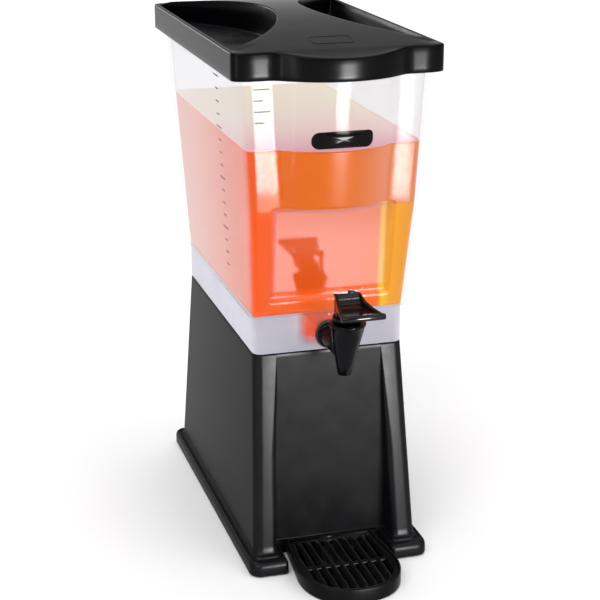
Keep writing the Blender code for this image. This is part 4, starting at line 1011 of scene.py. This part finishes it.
# ================================================================ tap
BODY_Y = SKIRT_FRONT - 0.0615
TIP_SETBACK = 0.0094
BODY_RADIUS_TOP = 0.019
BODY_RADIUS_TIP = 0.0067
HUB_RADIUS = 0.013
SHANK_RADIUS = 0.008
RING_BORE = 0.0083
BONNET_RADIUS = 0.0145
PLUG_RADIUS = 0.0087
STEM_HOLE = 0.0029
STEM_SETBACK = 0.010


def make_spout():
    """Tapered body on a leaning axis: outlet, outside, rounded top edge and top."""
    top, low = float(tap_high.z), float(tap_low.z)
    shape = [(-0.0026, 0.16), (-0.0026, 0.012), (-0.0020, 0.002), (-0.0012, 0.0), (-0.0004, 0.002),
             (0.0, 0.010), (0.0, 0.25), (0.0, 0.50), (0.0, 0.75), (0.0, 0.925), (0.0004, 0.94),
             (0.0006, 0.955), (0.0006, 0.980), (0.0002, 0.993), (-0.0006, 1.0), (-0.004, 1.0)]
    unit = circle_loop(1.0, 96)
    rows = []
    for grow, part in shape:
        radius = BODY_RADIUS_TIP + (BODY_RADIUS_TOP - 0.0006 - BODY_RADIUS_TIP) * part + grow
        centre = BODY_Y + TIP_SETBACK * (1 - part)
        rows.append(np.stack((unit[:, 0] * radius, centre + unit[:, 1] * radius,
                              np.full(len(unit), low + (top - low) * part)), axis=-1))
    return skin("tap_spout", closed_ends(np.stack(rows)))


def make_hub():
    """Level hub from the washer to the spout, with a shallow shoulder ring."""
    start, end = washer_low.y - GAP, BODY_Y + 0.004
    profile = [(0.004, start), (HUB_RADIUS + 0.0002, start), (HUB_RADIUS + 0.0008, start - 0.0006),
               (HUB_RADIUS + 0.0008, start - 0.0034), (HUB_RADIUS + 0.0002, start - 0.0042),
               (HUB_RADIUS - 0.0008, start - 0.0048), (HUB_RADIUS - 0.0012, start - 0.010),
               (HUB_RADIUS - 0.0014, start - 0.030), (HUB_RADIUS - 0.0014, end)]
    return skin("tap_hub", closed_ends(turned_on_y(profile, SHANK_Z, 80)))


def make_shank():
    """Threaded shank through the wall: ring grooves of the thread, and its bore."""
    start, end = washer_low.y - 0.004, float(tap_high.y)
    pitch, depth = 0.0015, 0.0004
    y = np.arange(start + 0.001, end - 0.0012, pitch / 4)
    radius = SHANK_RADIUS - depth / 2 + depth / 2 * np.cos((y - start) / pitch * 2 * math.pi)
    profile = [(0.0038, start), (SHANK_RADIUS - depth, start)] + list(zip(radius, y))
    profile += [(SHANK_RADIUS - 0.0008, end), (0.0038, end)]
    return skin("tap_shank", turned_on_y(profile, SHANK_Z, 48), wrap_rows=True)


def rounded_ring(name, outer, inner, y0, y1, soft, count=72, wobble=None):
    """A ring about the shank's axis with rounded edges."""
    profile = [(inner, y0 + soft), (inner + soft, y0), (outer - soft, y0),
               (outer - soft * 0.3, y0 + soft * 0.3), (outer, y0 + soft), (outer, y1 - soft),
               (outer - soft * 0.3, y1 - soft * 0.3), (outer - soft, y1), (inner + soft, y1), (inner, y1 - soft)]
    return skin(name, turned_on_y(profile, SHANK_Z, count, wobble), wrap_rows=True)


def make_bonnet():
    """Screwed cap: plug, round-edged cap with a grip of shallow flutes, stem hole."""
    z0, z1 = float(bonnet_low.z), float(PIVOT_Z) - 0.0046
    flange = z1 - 0.007
    radius, plug, hole = BONNET_RADIUS, PLUG_RADIUS, STEM_HOLE
    stem_y = PIVOT_Y + STEM_SETBACK
    profile = [(hole, z0), (plug - 0.0003, z0), (plug, z0 + 0.0005), (plug, flange - 0.0002),
               (radius - 0.0005, flange), (radius, flange + 0.0005), (radius, z1 - 0.0018),
               (radius - 0.0006, z1 - 0.0006), (radius - 0.0020, z1), (hole + 0.0006, z1), (hole, z1 - 0.0006)]
    rows = turned(profile, stem_y, 96)
    angle = np.linspace(0, 2 * math.pi, 96, endpoint=False)
    flute = 1 - 0.018 * (0.5 + 0.5 * np.cos(angle * 24)) ** 2
    grip = np.array([0, 0, 0, 0, 1, 1, 1, 1, 0, 0, 0])[:, None]
    scale = 1 + (flute[None] - 1) * grip
    rows[..., 0] *= scale
    rows[..., 1] = stem_y + (rows[..., 1] - stem_y) * scale
    return skins("tap_bonnet", [(rows, True, True)] + [solid(ear_rows(side, z1)) for side in (-1, 1)])


def ear_rows(side, top):
    """One ear of the bonnet: a round-topped plate across X, with soft edges."""
    radius, foot = 0.0033, top - 0.001
    a = np.linspace(0, math.pi, 25)
    line = np.concatenate((np.stack((radius * np.cos(a), radius * np.sin(a)), axis=-1),
                           [(-radius, foot - PIVOT_Z), (radius, foot - PIVOT_Z)]))
    rows = []
    for x, shrink in ((0.0060, 0.0003), (0.0063, 0.0), (0.0082, 0.0), (0.0085, 0.0003)):
        scale = 1 - shrink / radius
        rows.append(np.stack((np.full(len(line), side * x), PIVOT_Y + line[:, 0] * scale,
                              PIVOT_Z + line[:, 1] * scale), axis=-1))
    return np.stack(rows)


LEVER_TOP_BACK = 0.0155
LEVER_TOP_RISE = 0.0174
LEVER_REACH = 0.042
LEVER_BAR_RISE = 0.0084
LEVER_PLATE_BACK = 0.0065
LEVER_WEB = 0.0025


def lever_half(y):
    """Half width of the lever: narrow over the tap, wide at the finger bar."""
    along = (PIVOT_Y + LEVER_TOP_BACK - y) / (LEVER_TOP_BACK + LEVER_REACH)
    return (0.023 + (0.044 - 0.023) * along) / 2


def lever_curve(t):
    """Side curve of the scoop: a cubic Bezier from the plate's top edge down and out to the bar."""
    points = np.array([(LEVER_PLATE_BACK, LEVER_TOP_RISE), (0.0015, 0.0046), (-0.0120, 0.0050),
                       (-LEVER_REACH, LEVER_BAR_RISE)]) + (PIVOT_Y, PIVOT_Z)
    t = t[:, None]
    return ((1 - t) ** 3 * points[0] + 3 * (1 - t) ** 2 * t * points[1]
            + 3 * (1 - t) * t ** 2 * points[2] + t ** 3 * points[3])


def curve_normals(path):
    """Upward normals of a (y, z) path."""
    slope = np.gradient(path, axis=0)
    slope /= np.linalg.norm(slope, axis=1)[:, None]
    normal = np.stack((-slope[:, 1], slope[:, 0]), axis=1)
    return normal * np.sign(normal[-1, 1])


def web_rows(side, path, normal):
    """One side web: a flat top over the tap, a sloping crest along the scoop and a
    straight foot over the bonnet, as four outlines across its thickness."""
    foot = PIVOT_Z - 0.0033
    back = PIVOT_Y + LEVER_TOP_BACK
    keep = path[:, 0] < PIVOT_Y - 0.0060
    under = (path - normal * 0.0013)[keep][::6]
    nose = path[-1] + (0.0, 0.0016)
    crest = np.array([nose, (PIVOT_Y - 0.0210, PIVOT_Z + 0.0105), (PIVOT_Y - 0.0050, PIVOT_Z + 0.0128),
                      (PIVOT_Y + 0.0035, PIVOT_Z + 0.0158), (PIVOT_Y + LEVER_PLATE_BACK, PIVOT_Z + 0.0182),
                      (back - 0.0008, PIVOT_Z + 0.0182), (back, PIVOT_Z + 0.0174)])
    outline = np.concatenate(([(back, foot + 0.0006), (back - 0.0006, foot), (PIVOT_Y - 0.0040, foot)],
                              under, crest))
    middle = outline.mean(axis=0)
    rows = []
    for depth, shrink in ((0.0, 0.990), (0.0004, 1.0), (LEVER_WEB - 0.0004, 1.0), (LEVER_WEB, 0.990)):
        line = middle + (outline - middle) * shrink
        x = side * (lever_half(outline[:, 0]) - LEVER_WEB + depth)
        rows.append(np.stack((x, line[:, 0], line[:, 1]), axis=-1))
    return np.stack(rows)


def round_bar(half, y, z, radius, count=40):
    """A round bar along X with softened ends."""
    unit = circle_loop(1.0, count)
    ends = ((half, 0.56), (half - radius * 0.12, 0.84), (half - radius * 0.4, 1.0))
    steps = [(-x, r) for x, r in ends] + [(x, r) for x, r in ends[::-1]]
    return solid(np.stack([np.stack((np.full(count, x), y + unit[:, 0] * radius * r,
                                     z + unit[:, 1] * radius * r), axis=-1) for x, r in steps]))


def block(low, high, soft=0.0003):
    """A small block with softened edges, as loops up Z."""
    (x0, y0, z0), (x1, y1, z1) = low, high
    loop = rounded_loops([[(x0, y0), (x1, y0), (x1, y1), (x0, y1)]], 0.0005, 3)[0]
    return solid(stepped(loop, ((-soft, z0), (0.0, z0 + soft), (0.0, z1 - soft), (-soft, z1))))


def make_lever():
    """Lever: scooped plate with two grip ridges, side webs, finger bar, heel and arms."""
    t = np.linspace(0, 1, 97)
    path = lever_curve(t)
    normal = curve_normals(path)
    ridge = 0.0009 * np.maximum(np.sin((t - 0.07) / 0.16 * 2 * math.pi), 0) ** 2 * (t > 0.07) * (t < 0.38)
    half = lever_half(path[:, 0]) - LEVER_WEB / 2
    upper = path + normal * (0.0012 + ridge)[:, None]
    lower = path - normal * 0.0012
    share = np.array([-1, -0.8, -0.3, 0.3, 0.8, 1])
    ring = [np.stack((s * half, line[:, 0], line[:, 1]), axis=-1)
            for line, order in ((upper, share), (lower, share[::-1])) for s in order]
    patches = [solid(np.stack(ring, axis=1))]
    patches += [solid(web_rows(side, path, normal)) for side in (-1, 1)]
    head, back = lever_half(path[0, 0]) - 0.0005, PIVOT_Y + LEVER_TOP_BACK
    patches += [
        round_bar(0.0226, *path[-1], 0.0032),
        round_bar(head, path[0, 0] + 0.0006, path[0, 1] - 0.0006, 0.0018),
        block((-head, PIVOT_Y + LEVER_PLATE_BACK, PIVOT_Z + 0.0150), (head, back - 0.0006, PIVOT_Z + 0.0172)),
        block((0.0015, back - 0.0075, PIVOT_Z + 0.0165), (0.0085, back - 0.0022, PIVOT_Z + 0.0200), 0.0008),
        round_bar(0.0054, PIVOT_Y, PIVOT_Z, 0.0033),
        block((-0.0054, PIVOT_Y - 0.0017, PIVOT_Z), (0.0054, PIVOT_Y + 0.0017, PIVOT_Z + 0.0085))]
    for x0, x1 in ((-0.0054, -0.0030), (0.0030, 0.0054)):
        patches.append(block((x0, PIVOT_Y, PIVOT_Z - 0.0038), (x1, PIVOT_Y + 0.014, PIVOT_Z - 0.0020)))
    return skins("tap_lever", patches)


SPRING_WIRE = 0.0005
SPRING_TURNS = 6


def make_spring():
    """Closing spring: a helix whose pitch closes at both ends, as a round wire
    swept along it. Row i lies in the plane of the helix's turn angle."""
    low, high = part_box("closing_spring")
    middle_y = (low.y + high.y) / 2
    radius = (high.x - low.x) / 2 - SPRING_WIRE
    t = np.linspace(0, 1, 24 * SPRING_TURNS + 1)
    turn = t * SPRING_TURNS * 2 * math.pi
    climb = low.z + SPRING_WIRE + (high.z - low.z - 2 * SPRING_WIRE) * (t + np.sin(2 * math.pi * t) * -0.04)
    ring = np.linspace(0, 2 * math.pi, 10, endpoint=False)
    reach = radius + SPRING_WIRE * np.cos(ring)
    rows = np.stack((reach * np.cos(turn)[:, None], middle_y + reach * np.sin(turn)[:, None],
                     climb[:, None] + SPRING_WIRE * np.sin(ring) + 0 * reach), axis=-1)
    return skin("tap_spring", closed_ends(rows))


def make_foot(name):
    """Rubber pad with a rounded tread edge and a shallow dished face."""
    low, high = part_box(name)
    radius = (high.x - low.x) / 2
    cx, cy = (low.x + high.x) / 2, (low.y + high.y) / 2
    profile = [(radius * 0.45, low.z + 0.0004), (radius * 0.60, low.z), (radius - 0.0008, low.z),
               (radius - 0.0002, low.z + 0.0003), (radius, low.z + 0.0009), (radius, high.z - 0.0003),
               (radius - 0.0003, high.z)]
    rows = turned(profile, cy, 48)
    rows[..., 0] += cx
    return skin(name + "_pad", closed_ends(rows))


# ================================================================ studio
FLOOR_REACH = 30.0
CAMERA_LENS = 94.37
CAMERA_PLACE = (-0.4638, -1.5815, 0.7892)
CAMERA_TURN = (math.radians(71.854), 0.0, math.radians(-16.356))


def make_studio():
    """Pale floor, soft lights, even pale surroundings and the camera."""
    line = np.linspace(-FLOOR_REACH, FLOOR_REACH, 13)
    x, y = np.meshgrid(line, line)
    floor = skin("floor", np.stack((x, y, np.zeros_like(x)), axis=-1), wrap_columns=False)
    floor.data.materials.append(pale_floor())

    shade = Shade("studio", bpy.data.worlds)
    toward = shade.node("SeparateXYZ", {"Vector": shade.node("TexCoord")["Generated"]})
    stops = [(z, (grey, grey, grey * 1.01))
             for z, grey in ((0.0, 0.85), (0.12, 0.80), (0.24, 0.50), (0.50, 0.62), (0.80, 1.0))]
    sky = shade.node("Background", {"Color": shade.ramp(toward["Z"], *stops),
                                    "Strength": shade.spread(toward["Y"], -0.9, 0.5, 0.42, 0.95)})[0]
    bpy.context.scene.world = shade.finished(sky, "OutputWorld")

    def placed(name, data, place, turn):
        """A light or camera in the scene."""
        made = bpy.data.objects.new(name, data)
        bpy.context.scene.collection.objects.link(made)
        made.location, made.rotation_euler = place, turn
        return made

    def sun(name, azimuth, elevation, width, strength):
        """A broad soft light far away. Azimuth 0 comes from -Y and 90 from +X."""
        data = bpy.data.lights.new(name, "SUN")
        data.energy, data.angle = strength, math.radians(width)
        placed(name, data, (0, 0, 0), (math.radians(90 - elevation), 0.0, math.radians(azimuth)))

    sun("key_light", -38.0, 48.0, 40.0, 1.25)
    sun("fill_light", 42.0, 35.0, 50.0, 0.85)
    sun("top_light", 170.0, 72.0, 60.0, 0.9)

    def softbox(name, place, aim, wide, high, power):
        """A flat rectangular light, seen only in gloss."""
        data = bpy.data.lights.new(name, "AREA")
        data.shape, data.size, data.size_y, data.energy = "RECTANGLE", wide, high, power
        away = Vector(place) - Vector(aim)
        lamp = placed(name, data, place, away.to_track_quat("Z", "Y").to_euler())
        lamp.visible_camera = lamp.visible_diffuse = False

    softbox("front_strip", (0.285, -1.10, 0.24), (0.0, -0.14, 0.53), 0.30, 0.30, 26.0)
    softbox("side_strip", (-0.75, -0.75, 0.45), (-0.09, -0.12, 0.20), 0.10, 0.90, 1.6)
    softbox("rear_strip", (-0.85, 1.90, 0.74), (0.0, 0.0, 0.53), 0.60, 0.34, 4.5)

    data = bpy.data.cameras.new("camera")
    data.lens, data.sensor_width = CAMERA_LENS, 36.0
    bpy.context.scene.camera = placed("camera", data, CAMERA_PLACE, CAMERA_TURN)
    bpy.context.scene.view_settings.view_transform = "Standard"


# ================================================================ assembly
def build():
    """Make every piece, ride it on its body and give each CAD node its finish."""
    base_black = moulded_plastic("base_black", (0.0038, 0.0040, 0.0052), 0.34, 0.013, 0.27)
    lid_black = moulded_plastic("lid_black", (0.0012, 0.0012, 0.0020), 0.22, 0.008, 0.56, 0.05)
    tap_black = moulded_plastic("tap_black", (0.0022, 0.0022, 0.0032), 0.18, 0.011, 0.6, 0.03)
    # painted reflection: the lever's black base colour is tinted red for the orange drink it mirrors
    lever_black_painted_red_reflection = moulded_plastic("lever_black_painted_red_reflection", (0.0045, 0.0025, 0.0028), 0.14, 0.026, 0.9, 0.01)
    tray_black = moulded_plastic("tray_black", (0.0030, 0.0028, 0.0028), 0.34, 0.009, 0.5, 0.08)
    # painted reflection: the badge's black base colour is tinted red for the drink it mirrors
    badge_black_painted_red_reflection = moulded_plastic("badge_black_painted_red_reflection", (0.005, 0.003, 0.003), 0.10, 0.008, 0.9, 0.01)
    clear = clear_plastic("clear_tank", 0.004, 0.13, (0.80, 0.76, 0.80), cloud=0.005, panel_gloss=0.070)
    frosted = clear_plastic("frosted_skirt", 0.52, 0.90, (0.66, 0.65, 0.73), 0.10, cloud=0.10,
                            tint=(0.985, 0.985, 0.99), thin_at_sump=0.50)
    ticks = clear_plastic("raised_marks", 0.75, 0.8, (0.25, 0.22, 0.30), 0.0)
    drink = orange_drink()
    rubber = soft_rubber("black_rubber", (0.03, 0.03, 0.03), 0.7)
    silicone = soft_rubber("milky_silicone", (0.72, 0.70, 0.66), 0.5)
    steel = drawn_steel()

    tank, base, black = "tank_body", "base_body", "black_plastic"
    for make, finish, body, slot, *nodes in (
            (make_tank_wall, clear, tank, "clear_tank", "tank"),
            (make_tank_skirt, frosted, tank, "clear_tank"),
            (make_sump, clear, tank, "clear_tank"),
            (make_marks, ticks, tank, "clear_tank"),
            (make_drink, drink, tank, "clear_tank"),
            (make_drink_surface, pink_surface(), tank, "clear_tank"),
            (make_sump_drink, drink, tank, "clear_tank"),
            (make_badge, badge_black_painted_red_reflection, tank, "gloss_black", "front_badge"),
            (make_lid, lid_black, "lid_body", black, "lid"),
            (make_lid_panel, lid_black, "lid_body", black),
            (make_base, base_black, base, black, "base"),
            (make_base_lip, base_black, base, black),
            (make_tray, tray_black, "tray_body", black, "drip_tray"),
            (make_tray_tongue, tray_black, "tray_body", black),
            (make_tray_posts, tray_black, "tray_body", black),
            (make_grate, tray_black, "grate_body", black, "drip_grate"),
            (make_spout, tap_black, tank, black, "faucet_body"),
            (make_hub, tap_black, tank, black),
            (make_shank, tap_black, tank, black),
            (make_bonnet, tap_black, tank, black, "faucet_bonnet"),
            (make_lever, lever_black_painted_red_reflection, "lever_body", "gloss_black", "faucet_lever")):
        dress(make(), finish, body, slot, *nodes)
    corner = np.linspace(0, 6, 72, endpoint=False) % 1.0
    hexagon = math.cos(math.pi / 6) / np.cos((corner - 0.5) * math.pi / 3)
    for name, node, outer, soft, count, wobble, finish, slot in (
            ("hub_washer", "outer_washer", 0.0155, 0.0006, 72, None, rubber, "black_rubber"),
            ("sump_seal", "inner_washer", 0.011, 0.0004, 48, None, silicone, "silicone"),
            ("tap_nut", "shank_nut", 0.0115, 0.0004, 72, hexagon, tap_black, "gloss_black")):
        low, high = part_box(node)
        ring = rounded_ring(name, outer, RING_BORE, float(low.y), float(high.y), soft, count, wobble)
        dress(ring, finish, tank, slot, node)
    for place in ("front_left", "front_right", "back_left", "back_right"):
        dress(make_foot("foot_" + place), rubber, base, "black_rubber", "foot_" + place)
    low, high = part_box("closing_spring")
    spring = dress(make_spring(), steel, tank, "stainless", "closing_spring")
    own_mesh(spring)
    kept = {"lever_pin": steel, "valve_stem": tap_black, "seat_cup": silicone}
    for name, material in kept.items():
        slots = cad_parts[name].data.materials
        slots.clear()
        slots.append(material)


build()
make_studio()
